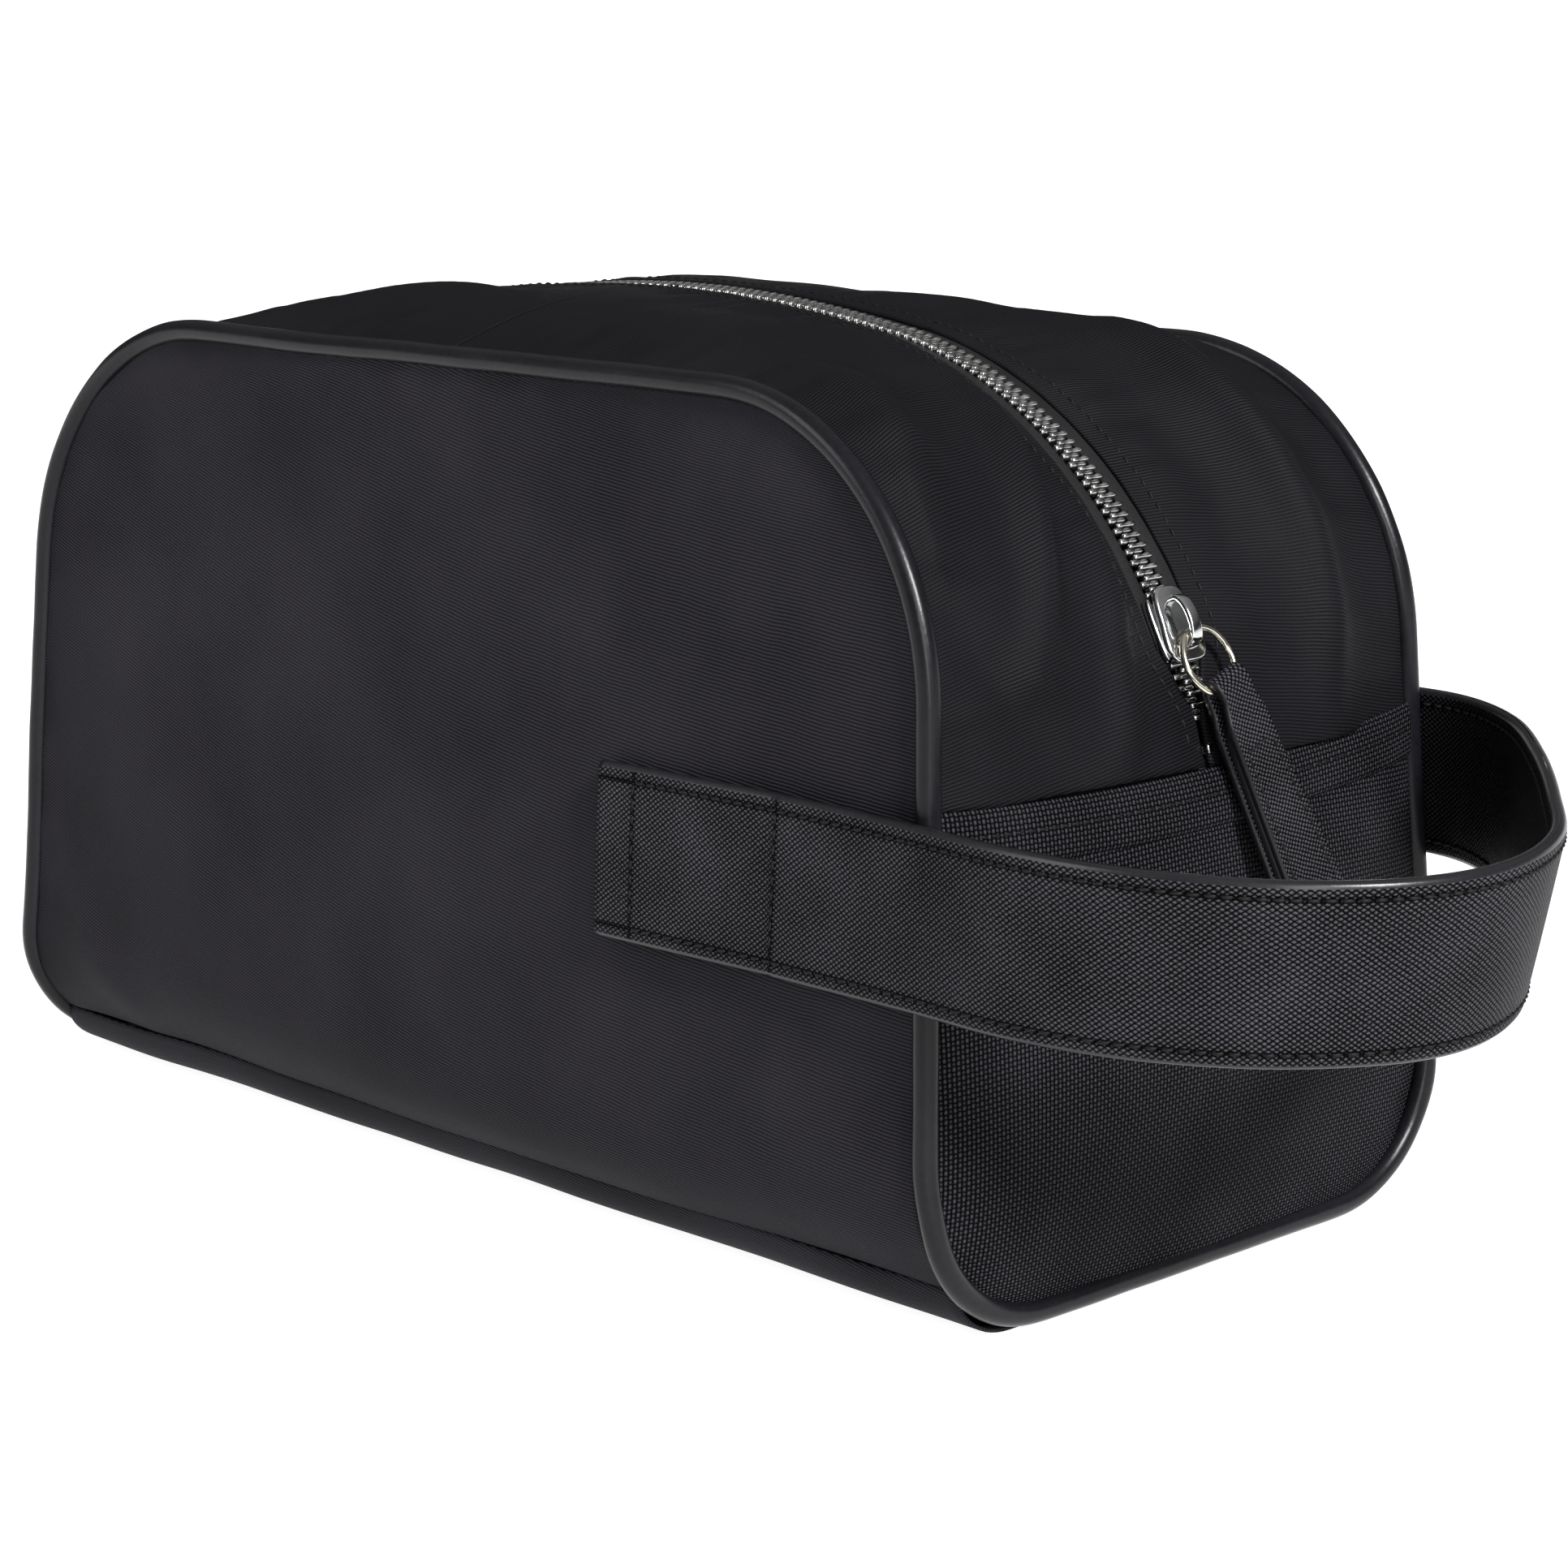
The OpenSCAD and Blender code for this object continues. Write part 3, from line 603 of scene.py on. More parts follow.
# painted shade: a darker copy of the cross-grain leather, light 0.02 against 0.07, for the strap's inner
# face that lies in shade
SAFFIANO_INSIDE_SHADED = make_saffiano("cross_grain_leather_inside_shaded", 0.02, 0.03)
PIPING = make_smooth("piping_skin", (0.003, 0.0028, 0.0038), (0.007, 0.0065, 0.0085), 0.3, 0.03,
                     Specular_IOR_Level=0.2)
EDGE = make_smooth("edge_paint", (0.006, 0.006, 0.0075), (0.012, 0.012, 0.014), 0.3, 0.03,
                   Specular_IOR_Level=0.3)
THREAD = make_smooth("thread", PIT_SHADE_AND_DARK_THREAD, (0.003, 0.003, 0.0036), 0.6, 0.05, scale=2500.0,
                     Specular_IOR_Level=0.2)
TAPE = make_woven("zip_tape_weave", (0.003, 0.003, 0.0035), (0.012, 0.012, 0.013), 0.5, 0.75, 0.08)
LINING = make_woven("lining_weave", (0.012, 0.0125, 0.014), (0.03, 0.031, 0.036), 0.35, 0.6, 0.05)
FOAM = make_smooth("foam_sheet", (0.2, 0.2, 0.2), (0.3, 0.3, 0.3), 0.85, 0.1)
BOARD = make_smooth("bottom_board_plastic", (0.03, 0.03, 0.03), (0.05, 0.05, 0.05), 0.55, 0.03)
CORD = make_smooth("filler_cord", (0.55, 0.52, 0.46), (0.7, 0.67, 0.6), 0.9, 0.1)
NICKEL = make_metal("zip_nickel", (0.38, 0.38, 0.38), (0.62, 0.62, 0.61), 0.2)
CHROME = make_metal("slider_chrome", (0.5, 0.51, 0.52), (0.72, 0.72, 0.72), 0.12)
PALE = make_metal("ring_pale_nickel", (0.6, 0.57, 0.46), (0.78, 0.74, 0.62), 0.14)


def settle(obj, body, slot, *nodes, blend=None):
    """Parents a piece to its body, or with a blend bakes its place into its mesh, and hides the CAD nodes
    that it stands for. The slot is not used.
    """
    if blend:
        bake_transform(obj)
    else:
        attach(obj, body)
    if nodes:
        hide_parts(*nodes)
    return obj

# ---- body panels
def eased(count):
    """0 to 1 in steps that bunch up towards both ends."""
    return (1 - np.cos(np.pi * np.linspace(0, 1, count))) / 2


def mix_steps(count, ease=0.6):
    return ease * eased(count) + (1 - ease) * np.linspace(0, 1, count)


def front_push(seed, folds=()):
    """How the long panels sag, pucker along their piping and crease."""
    def push(pts, coords):
        u = pts[..., 0] / half_len(pts[..., 2])
        z = pts[..., 2]
        edge = np.minimum(half_len(z) - np.abs(pts[..., 0]), BODY_H - z)
        slow = 1.1 * ripple(pts, 75.0, seed) + 0.5 * ripple(pts, 34.0, seed + 9)
        pucker = 0.42 * ripple(pts, 7.5, seed + 20) * hump(edge, 10.0)
        sag = -1.4 * hump(z - 128, 22.0) * (1 - u * u)
        belly = 1.3 * hump(z - 42, 26.0) * (1 - u * u)
        inside = np.clip(edge / 12.0, 0, 1)
        out = (slow + sag + belly) * inside + pucker
        for a, b, width, height in folds:
            out = out + crease(pts[..., [0, 2]], a, b, width, height) * inside
        return out
    return push


FRONT_FOLDS = (((-118, 40), (-96, 14), 7.0, 0.9), ((-126, 60), (-104, 48), 9.0, -0.6),
               ((96, 22), (122, 40), 9.0, 0.7), ((-30, 16), (60, 15), 6.0, 0.5))


def panel_grid(cols, rows, low, inset, out=SKIN):
    """Points over a long panel, from its bottom seam plus low to its top less inset."""
    z = BOTTOM_SEAM_Z + low + (BODY_H - inset - BOTTOM_SEAM_Z - low) * mix_steps(rows)[:, None]
    return front_point(in_row(-1, 1, cols), z, inset=inset, out=out)


def long_panel(name, push):
    return cloth(name, panel_grid(170, 110, 0, 1.2), NYLON, thick=0.8, push=push)


settle(long_panel("front_panel_nylon", front_push(3.0, FRONT_FOLDS)), "bag", "nylon", "front_panel")
settle(quarter(long_panel, "back_panel_nylon", False, True, front_push(41.0)), "bag", "nylon", "back_panel")


SEAM_IN = 0.6       # a panel stops this far short of its seam


def underside():
    """Bottom panel: rolls up to the seam at the front and the back, flat where it stands."""
    roll = in_column(0, 1, 14)
    y_seam = FOOT_Y + FOOT_R * math.cos(math.radians(45)) + SKIN
    y_flat = FOOT_Y + 5
    a = roll * np.pi / 2
    side_y = y_flat + (y_seam - SEAM_IN - y_flat) * np.cos(a)
    side_z = (BOTTOM_SEAM_Z - SEAM_IN) * (1 - np.sin(a))
    flat_y = np.linspace(y_flat, -y_flat, 42)[1:-1, None]
    y = -np.concatenate([side_y, flat_y, -side_y[::-1]])
    z = np.concatenate([side_z, 0 * flat_y, side_z[::-1]])
    x = in_row(-1, 1, 90) * (half_len(PIPE_Z) - 1.2)
    pts = stacked(x, y, z)[::-1]
    pts[..., 2] += 0.5 * np.clip(pts[..., 2] / 2.0, 0, 1) * ripple(pts, 30.0, 5.0)
    return cloth("bottom_panel_nylon", pts, NYLON, thick=0.7)


settle(underside(), "bag", "nylon", "bottom_panel")


def end_push(pts, _=None):
    edge = half_depth(pts[..., 2]) - np.abs(pts[..., 1])
    inside = np.clip(edge / 10.0, 0, 1)
    slow = 0.9 * ripple(pts, 42.0, 71.0) + 0.4 * ripple(pts, 20.0, 75.0)
    tuck = -1.2 * hump(pts[..., 2] - 18, 12.0) * (1 - inside)
    return slow * inside + tuck + 0.2 * ripple(pts, 8.0, 80.0) * hump(edge, 8.0)


def seam_height(w):
    """The end's top seam dips in the middle and climbs a little to the back."""
    return SEAM_Z - SEAM_IN + 1.2 * w + 1.6 * w * w


def canvas_end(name):
    w = in_row(-1, 1, 110)
    low = PIPE_Z + 1.2
    z = low + (seam_height(w) - low) * mix_steps(80)[:, None]
    return cloth(name, end_point(w, z, inset=1.2), CANVAS, thick=1.0, push=end_push)


HEM_DEEP, HEM_OUT, HEM_LIP, HEM_ROW = 9.0, SKIN + 0.15, 0.75, 3.4


def canvas_hem(name):
    """The canvas's folded top edge, a second layer with a soft rolled lip."""
    f = in_column(0, 1, 16)
    w = in_row(-1, 1, 110)
    z = seam_height(w) - HEM_DEEP + (HEM_DEEP + 1) * f

    def push(pts, _):
        lip = HEM_LIP * np.clip(np.sin(np.pi * f), 0, 1) ** 0.35
        return end_push(pts) + lip + 0.1 * ripple(pts, 5.0, 91.0)
    return cloth(name, end_point(w, z, inset=1.2, out=HEM_OUT), CANVAS, thick=0.9, push=push)


def hem_stitch(name, side):
    w = np.linspace(-0.965, 0.965, 160)
    line = end_point(w, seam_height(w) - HEM_ROW, inset=1.2, out=HEM_OUT)
    line[:, 0] += end_push(line[None])[0] + HEM_LIP + 0.03
    line[:, 0] *= side
    normal = np.tile([side, 0.0, 0.05], (len(line), 1))
    return stitches(name, line, normal, pitch=2.5, length=2.0, radius=0.24)


right_end, right_hem = canvas_end("end_canvas_right"), canvas_hem("end_hem_right_canvas")
settle(mirrored(right_end, "end_canvas_left"), "bag", "canvas", "end_panel_left")
settle(mirrored(right_hem, "end_hem_left_canvas"), "bag", "canvas", "end_hem_left")
settle(right_end, "bag", "canvas", "end_panel_right")
settle(right_hem, "bag", "canvas", "end_hem_right")
settle(hem_stitch("hem_stitches_right", 1), "bag", "zip_tape")
settle(hem_stitch("hem_stitches_left", -1), "bag", "zip_tape")

# ---- top band, on both sides of the zip
FLAP_START, FLAP_END = 112.0, 45.0     # the nylon turns between these places along X
# Folds in the nylon, each (t, s) to (t, s), its width and its height in millimetres
RIGHT_FOLDS = (((0.50, 0.90), (0.88, 0.40), 4.2, 4.2), ((0.60, 0.94), (0.84, 0.62), 3.6, -1.1),
               ((0.70, 0.95), (0.98, 0.66), 3.6, 2.4), ((0.48, 0.34), (0.76, 0.10), 6.0, 3.4),
               ((0.30, 0.80), (0.50, 0.40), 6.0, -1.1), ((0.82, 0.10), (0.97, 0.42), 5.0, -1.2))
LEFT_FOLDS = (((0.10, 0.62), (0.42, 0.36), 5.0, 2.4), ((0.20, 0.85), (0.46, 0.56), 4.5, -1.2),
              ((0.50, 0.80), (0.80, 0.45), 5.0, 2.2), ((0.55, 0.35), (0.85, 0.25), 5.0, -1.1))
BACK_RIGHT_FOLDS = (((0.46, 0.42), (0.97, 0.46), 5.5, 4.8), ((0.44, 0.72), (0.97, 0.74), 6.5, -1.3),
                    ((0.20, 0.70), (0.55, 0.40), 6.0, 2.0), ((0.62, 0.24), (0.92, 0.16), 5.0, -1.1))
BAND_WIDTH = 54.0


def band_grid(t, s, lift=0.0):
    """Points of the band, and the cloth's own coordinates there."""
    return band_point(t, s, lift), stacked(t * PIPE_RUN, s * BAND_WIDTH)


def band_push(folds, seed):
    """How the band creases along its folds and gathers at its seams."""
    def push(pts, coords):
        t, s = coords[..., 0] / PIPE_RUN, coords[..., 1] / BAND_WIDTH
        up, down = coords[..., 1], BAND_WIDTH - coords[..., 1]
        inside = np.clip(s / 0.12, 0, 1) * np.clip((1 - s) / 0.10, 0, 1) ** 0.7
        out = 0.9 * ripple(pts, 30.0, seed) + 0.45 * ripple(pts, 14.0, seed + 4)
        for a, b, width, height in folds:
            a_mm, b_mm = ((end[0] * PIPE_RUN, end[1] * BAND_WIDTH) for end in (a, b))
            out = out + crease(coords, a_mm, b_mm, width, height)
        along = stacked(coords[..., 0], 0.22 * up, seed)
        gather = 0.95 * ripple(along, 5.5, seed + 2) * hump(up - 7, 11.0)
        drawn = 0.85 * ripple(along, 4.4, seed + 6) * hump(down - 8, 7.0)
        pull = 0.18 * ripple(pts, 5.5, seed + 8) * hump(down, 5.0)
        # the lining lies under the deepest valley, and the quarters meet level in the middle of the bag
        return (np.maximum(out + gather + drawn, -1.5) * inside + pull) * smooth01(t / 0.16)
    return push


def band_half(name, folds, seed):
    """Front right quarter of the band, from the middle of the bag to its end seam."""
    pts, coords = band_grid(in_row(0, 1, 150), (0.012 + 0.988 * mix_steps(72, 0.5))[:, None])
    shift = band_push(folds, seed)(pts, coords)
    pts = pts + shift[..., None] * grid_normals(pts)
    # the folded edge rolls over and tucks back under, above the zip tape
    n = grid_normals(pts)[-1]
    roll = [pts[-1] + (0, 0.7 * math.sin(angle), 0) - n * 0.7 * (1 - math.cos(angle))
            for angle in np.radians([30, 60, 90, 125, 160])]
    tuck = roll[-1] - (0, 3.0, 0) - n * 0.05
    pts = np.concatenate([pts, np.array(roll), tuck[None]])
    extra = coords[-1:] + stacked(0, [0.4, 0.8, 1.2, 1.6, 2.0, 5.0])[:, None]
    return cloth(name, pts, NYLON_BAND_SHADED, thick=0.45, coords=np.concatenate([coords, extra]))


def band_stitch(name, folds, seed):
    t = in_row(0, 0.985, 260)
    pts, coords = band_grid(t, 0.945)
    shift = band_push(folds, seed)(pts, coords)
    a = zip_angle(t[0])
    normal = stacked(np.cos(a), 0, np.sin(a))
    line = pts[0] + (shift[0][:, None] + 0.02) * normal
    return stitches(name, line, normal, pitch=2.7, length=2.2, radius=0.25)


def zip_tape(name):
    t = in_row(0, 0.99, 130)
    y = in_column(-14, -2.9, 8)
    x, z = zip_line(t, -0.9)
    return cloth(name, stacked(x, y - spread(t), z), TAPE, thick=0.6)


def spread(t):
    """How far each tape stands back from the middle: the open stretch below the slider."""
    f = np.clip((np.asarray(t, float) - SLIDER_T) / (0.99 - SLIDER_T), 0, 1)
    return 0.5 * np.sin(np.pi * f) ** 0.8


def tooth_shape():
    """One die-formed tooth: jaws round the tape's bead, a waist, and a cupped head."""
    # each ring: its place across the zip, half its width along the zip, half its height; head at +Y
    rings = [(-3.1, 0.42, 0.95), (-2.9, 0.52, 1.15), (-1.5, 0.52, 1.15), (-1.1, 0.40, 0.95),
             (-0.2, 0.40, 0.95), (0.2, 0.47, 1.05), (1.0, 0.47, 1.05), (1.35, 0.34, 0.85)]
    corners = np.radians(np.arange(22.5, 360, 45))
    verts = [(half_t * blunt(math.cos(a), 0.45), y, half_h * blunt(math.sin(a), 0.45))
             for y, half_t, half_h in rings for a in corners]
    return np.array(verts), ring_faces(len(rings), len(corners))


TOOTH_PITCH = 2.15


def teeth_row(name, shift):
    shape, shape_faces = tooth_shape()
    verts, faces = [], []
    for k in range(int(0.965 * ZIP_RUN / TOOTH_PITCH)):
        t = (k + shift) * TOOTH_PITCH / ZIP_RUN
        x, z = zip_at(t, -1.15)
        a = math.pi / 2 - float(zip_angle(t))
        ca, sa = math.cos(a), math.sin(a)
        across, y, high = shape.T
        base = len(verts)
        verts.extend(stacked(x + across * ca + high * sa, y - float(spread(t)), z - across * sa + high * ca))
        faces.extend(tuple(base + i for i in f) for f in shape_faces)
    return link_mesh(name, verts, faces, NICKEL)


def flap_blend(side, sign_x):
    """The nylon turns from the bag to its flap between two places along X."""
    y = -0.06 if side == "front" else 0.06
    return (side + "_flap", (sign_x * FLAP_START * MM, y, 0.15), (sign_x * FLAP_END * MM, y, 0.15))


QUARTERS = (("front", "right", RIGHT_FOLDS, 11.0), ("front", "left", LEFT_FOLDS, 23.0),
            ("back", "right", BACK_RIGHT_FOLDS, 37.0), ("back", "left", RIGHT_FOLDS, 53.0))


def band_lining(name):
    pts, _ = band_grid(in_row(0, 0.97, 60), in_column(0.08, 0.84, 24), lift=-2.2)
    return cloth(name, pts, LINING, thick=0.4, push=lambda p, c: 0.5 * ripple(p, 22.0, 3.0))


for side, end, folds, seed in QUARTERS:
    flips = (end == "left", side == "back")
    flap = flap_blend(side, -1 if end == "left" else 1)
    tag = side + "_" + end
    band = quarter(band_half, "band_nylon_" + tag, *flips, folds, seed)
    nodes = ["corner_gusset_" + tag] + (["top_flap_" + side] if end == "right" else [])
    settle(band, "bag", "nylon", *nodes, blend=flap)
    settle(quarter(band_stitch, "band_stitches_" + tag, *flips, folds, seed), "bag", "zip_tape", blend=flap)
    # the right pieces stand for the nodes over the top, and one left piece for those at both ends
    for make, name, slot, top, ends, args in (
            (zip_tape, "zip_tape_", "zip_tape", "zip_tape_top_", "zip_tape_ends", ()),
            (teeth_row, "zip_teeth_", "zip_metal", "zip_teeth_top_", "zip_teeth_ends", (0.5 * flips[1],)),
            (band_lining, "band_lining_", "lining", "flap_lining_", "corner_linings", ())):
        nodes = [top + side] if end == "right" else [ends] if side == "front" else []
        settle(quarter(make, name + tag, *flips, *args), "bag", slot, *nodes, blend=flap)

# ---- inside: lining, foam, board
def inner_long(name, depth, thick, material, inset, is_back):
    slow = front_push(41.0 if is_back else 3.0)

    def push(pts, coords):
        wrinkle = 0.5 * ripple(pts, 26.0, is_back + 60.0) if material is LINING else 0.0
        return slow(pts, coords) * 0.9 - 0.3 + wrinkle
    return cloth(name, panel_grid(70, 44, 3, inset, SKIN - depth), material, thick=thick, push=push)


for side, is_back in (("front", 0), ("back", 1)):
    foam = quarter(inner_long, side + "_foam_sheet", False, is_back, 1.2, 2.8, FOAM, 6.0, is_back)
    settle(foam, "bag", "foam", side + "_foam")
    face = quarter(inner_long, side + "_lining_cloth", False, is_back, 4.6, 0.5, LINING, 4.0, is_back)
    settle(face, "bag", "lining", "lining_" + side)


def end_lining(name):
    w = in_row(-1, 1, 44)
    z = (PIPE_Z + 4 + (SEAM_Z + 1.5 - PIPE_Z - 4) * mix_steps(34))[:, None]
    pts = end_point(w, z, inset=4.0, out=SKIN - 2.2)
    return cloth(name, pts, LINING, thick=0.4, push=lambda p, c: 0.6 * ripple(p, 24.0, 9.0))


for end, flip in (("right", False), ("left", True)):
    settle(quarter(end_lining, "end_lining_cloth_" + end, flip, False), "bag", "lining", "lining_end_" + end)


def floor_sheet(name, z, thick, half_x, half_y, material, swell):
    x = in_row(-half_x, half_x, 60)
    y = in_column(-half_y, half_y, 30)
    pts = stacked(x, y, z)
    pts[..., 2] += swell * (0.5 + 0.5 * ripple(pts, 28.0, 4.0))
    return cloth(name, pts, material, thick=thick)


board_x, board_y, board_z = node_box("bottom_board")[1]
board = floor_sheet("bottom_board_sheet", board_z, 2.0, board_x, board_y, BOARD, 0.0)
settle(board, "bag", "board", "bottom_board")
base = floor_sheet("bottom_lining_cloth", board_z + 0.9, 0.5, board_x + 1, board_y + 9, LINING, 0.8)
settle(base, "bag", "lining", "lining_bottom")


# ---- piping
def piping_route():
    """One closed loop: up and over the back, under the left end, up and over the front, back."""
    a = np.linspace(0, np.pi / 2, 30)[:-1]
    foot = stacked(half_len(PIPE_Z), FOOT_Y + FOOT_R * np.sin(a), FOOT_Z - FOOT_R * np.cos(a))
    z = np.linspace(FOOT_Z, SEAM_Z, 40)[:-1]
    rise = stacked(half_len(z), half_depth(z), z)
    x, z = pipe_line(np.linspace(1, -1, 260))
    over = stacked(x, half_depth(z), z)
    fall = np.concatenate([foot, rise])[::-1] * (-1, 1, 1)
    back_wall = np.concatenate([foot, rise, over, fall])
    y = np.linspace(FOOT_Y, -FOOT_Y, 50)[1:-1]
    under = stacked(-half_len(PIPE_Z), y, PIPE_Z)
    route = np.concatenate([back_wall, under, back_wall[::-1] * (1, -1, 1), (under * (-1, 1, 1))[::-1]])
    route = resample(np.concatenate([route, route[:1]]), 1.6)[0]
    for _ in range(9):      # the cord eases round the places where the panels' outlines change
        route = (np.roll(route, 1, 0) + 2 * route + np.roll(route, -1, 0)) / 4
    return route


def piping(name):
    route = piping_route()
    outs = route - (0, 0, BODY_H / 2)
    wobble = ripple(route[None], 9.0, 14.0)[0]
    section = circle(PIPE_R - 0.05, 16)[None] * (1 + 0.035 * wobble)[:, None, None]
    drift = 0.25 * np.stack([ripple(route[None], 26.0, k)[0] for k in (31.0, 47.0, 59.0)], -1)
    drift *= np.clip((route[:, 2:] - FOOT_Z) / 12, 0, 1)
    return tube(name, route + drift, outs, section, PIPING, closed=True)


settle(piping("piping_tube"), "bag", "piping", "piping_cover")

# ---- carry strap
# Plan of the strap's middle where it is free, as in the CAD part
STRAP_PLAN = np.array([(98, -68.8), (112, -69.2), (130, -70.4), (152, -72), (174, -69), (194, -59),
                       (207, -43), (211, -24), (205, -3), (190, 18), (171, 41), (152, 60), (133, 69.6),
                       (112, 69.2), (98, 68.8)], float)
STRAP_W, LAYER, STRAP_Z, STRAP_RISE, STRAP_LEAN = 31.0, 1.4, 75.0, 4.0, 11.0
TAB_OUT, TAB_IN = 55.0, 98.0
STRAP_KNOTS, TAB_POINTS = len(STRAP_PLAN) - 1, 39


def plan_curve(s):
    """Smooth curve through the strap's knots."""
    i = np.minimum(np.floor(s).astype(int), STRAP_KNOTS - 1)
    f = (s - i)[:, None]
    a, b, c, d = (STRAP_PLAN[np.clip(i + k, 0, STRAP_KNOTS)] for k in (-1, 0, 1, 2))
    return 0.5 * (2 * b + (c - a) * f + (2 * a - 5 * b + 4 * c - d) * f ** 2
                  + (3 * b - 3 * c + d - a) * f ** 3)


def strap_route():
    """Middle line of the strap and its outward directions, sewn end to sewn end."""
    x = np.linspace(TAB_OUT, TAB_IN, TAB_POINTS + 1)[:-1]

    def sewn(z, sign):
        lie = -front_point(x / half_len(z), z + 0 * x)[:, 1] + LAYER + 0.1
        return stacked(x, sign * lie)
    s = np.linspace(0, STRAP_KNOTS, 330)
    plan = np.concatenate([sewn(STRAP_Z, -1), plan_curve(s), sewn(STRAP_Z + STRAP_RISE, 1)[::-1]])
    knots = np.concatenate([np.full(TAB_POINTS, -1.0), s, np.full(TAB_POINTS, STRAP_KNOTS + 1.0)])
    along = np.gradient(plan, axis=0)
    out = stacked(along[:, 1], -along[:, 0], 0.0)
    out /= np.linalg.norm(out, axis=1, keepdims=True)
    lean = STRAP_LEAN * smooth01((knots - 2) / 4) * smooth01((STRAP_KNOTS - 2 - knots) / 4)
    free = smooth01((knots - 0.5) / 2) * smooth01((STRAP_KNOTS - 0.5 - knots) / 2)
    lean -= math.degrees(WALL_LEAN) * (1 - free)
    a = np.radians(lean)[:, None]
    up = np.array([0.0, 0.0, 1.0])
    thick = np.cos(a) * out - np.sin(a) * up
    high = STRAP_Z + STRAP_RISE * smooth01((knots - 6) / 6)
    mid = np.concatenate([plan, high[:, None]], 1) - STRAP_W / 2 * np.sin(a) * out
    return mid, thick


strap_mid, strap_thick = strap_route()


def leather_section(half_w, low, high, face_out):
    """Section of one leather layer: a soft crowned face, grooves at the stitch lines, round edges."""
    face, back = (high, low) if face_out else (low, high)
    sign = 1.0 if face_out else -1.0
    w = np.concatenate([[-half_w + 0.9], np.linspace(-half_w + 1.6, half_w - 1.6, 29), [half_w - 0.9]])
    groove = sum(hump(w - k * STRAP_STITCH, 0.55) for k in (-1, 1))
    top = face + sign * (0.10 * (1 - (w / half_w) ** 2) - 0.16 * groove - 0.12 * (np.abs(w) > half_w - 1.2))
    turn = np.radians([15, 40, 65, 90])
    rise = abs(face - back)
    edge = [(back + sign * rise * math.cos(a) * 0.72, half_w - 0.5 + 0.5 * math.sin(a)) for a in turn]
    edge.append((back, half_w))
    points = [*zip(top, w)] + edge + [(t, -v) for t, v in edge[::-1]]
    return np.array(points), len(w)


def strap_layer(name, low, high, face_out, leather):
    section, face_count = leather_section(STRAP_W / 2, low, high, face_out)
    count = len(section)
    coords = stacked(np.repeat(strap_run, count), np.tile(section[:, 1], len(strap_run)))
    obj = tube(name, strap_mid, strap_thick, section, [leather, EDGE], coords=coords)
    slots = [int(j >= face_count - 1) for j in range(count)] * (len(strap_run) - 1) + [1, 1]
    obj.data.polygons.foreach_set("material_index", slots)
    return obj


CROSS_ROWS = (8, TAB_POINTS)    # rows of stitches across both ends, in points from each end
LOOP_BLEND = ("loop", (0.099, 0, 0.077), (0.128, 0, 0.077))
strap_run = run_along(strap_mid)
SAFFIANO_STRAP = make_saffiano("cross_grain_leather_strap", 0.07, 0.03, float(strap_run[-1]) / 2,
                               [float(strap_run[row]) for row in CROSS_ROWS])
settle(strap_layer("strap_outer_leather", 0.02, LAYER, True, SAFFIANO_STRAP), "bag", "leather",
       "strap_tab_front", "strap_flex_front", "strap_loop_outer", blend=LOOP_BLEND)
settle(strap_layer("strap_inner_leather", -LAYER, -0.02, False, SAFFIANO_INSIDE_SHADED), "bag", "leather",
       "strap_tab_back", "strap_flex_back", "strap_loop_inner", blend=LOOP_BLEND)


def strap_stitches():
    """Rows along both edges on both faces, a row across each sewn end and one at each root."""
    along = np.gradient(strap_mid, axis=0)
    along /= np.linalg.norm(along, axis=1, keepdims=True)
    side = np.cross(along, strap_thick)
    parts = []
    for face in (1, -1):
        for edge in (1, -1):
            line = strap_mid + strap_thick * face * (LAYER - 0.02) + side * edge * STRAP_STITCH
            keep = slice(8, len(line) - 8) if face == 1 else slice(45, len(line) - 45)
            parts.append(stitches("row", line[keep], (strap_thick * face)[keep], radius=0.33))
    for index in CROSS_ROWS + tuple(len(strap_mid) - 1 - row for row in CROSS_ROWS):
        v = in_column(-STRAP_STITCH, STRAP_STITCH, 30)
        line = strap_mid[index] + strap_thick[index] * (LAYER + 0.02) + side[index] * v
        parts.append(stitches("row", line, np.tile(strap_thick[index], (30, 1)), radius=0.33))
    return joined("strap_stitches", parts)


settle(strap_stitches(), "bag", "leather", blend=LOOP_BLEND)

# ---- slider, ring and puller
RING_R, RING_WIRE, PIVOT_OUT, PIVOT_Z, LEAN, KINK = 6.05, 0.64, 3.4, -2.0, 18.0, 12.0
slider_x, slider_z = zip_at(SLIDER_T)
SLIDER = Matrix.Translation((slider_x, 0, slider_z)) @ Matrix.Rotation(math.radians(-SLIDER_ANGLE), 4, "Y")
RING = SLIDER @ Matrix.Translation((PIVOT_OUT, 0, PIVOT_Z)) @ Matrix.Rotation(math.radians(LEAN), 4, "X")
TAB = RING @ Matrix.Translation((0, 0, -2 * RING_R)) @ Matrix.Rotation(math.radians(KINK), 4, "Y")


def moved(obj, matrix):
    """Places a mesh made in a local frame, in millimetres, into the bag's frame."""
    local = matrix.copy()
    local.translation *= MM
    obj.data.transform(local)
    obj.data.update()
    return obj


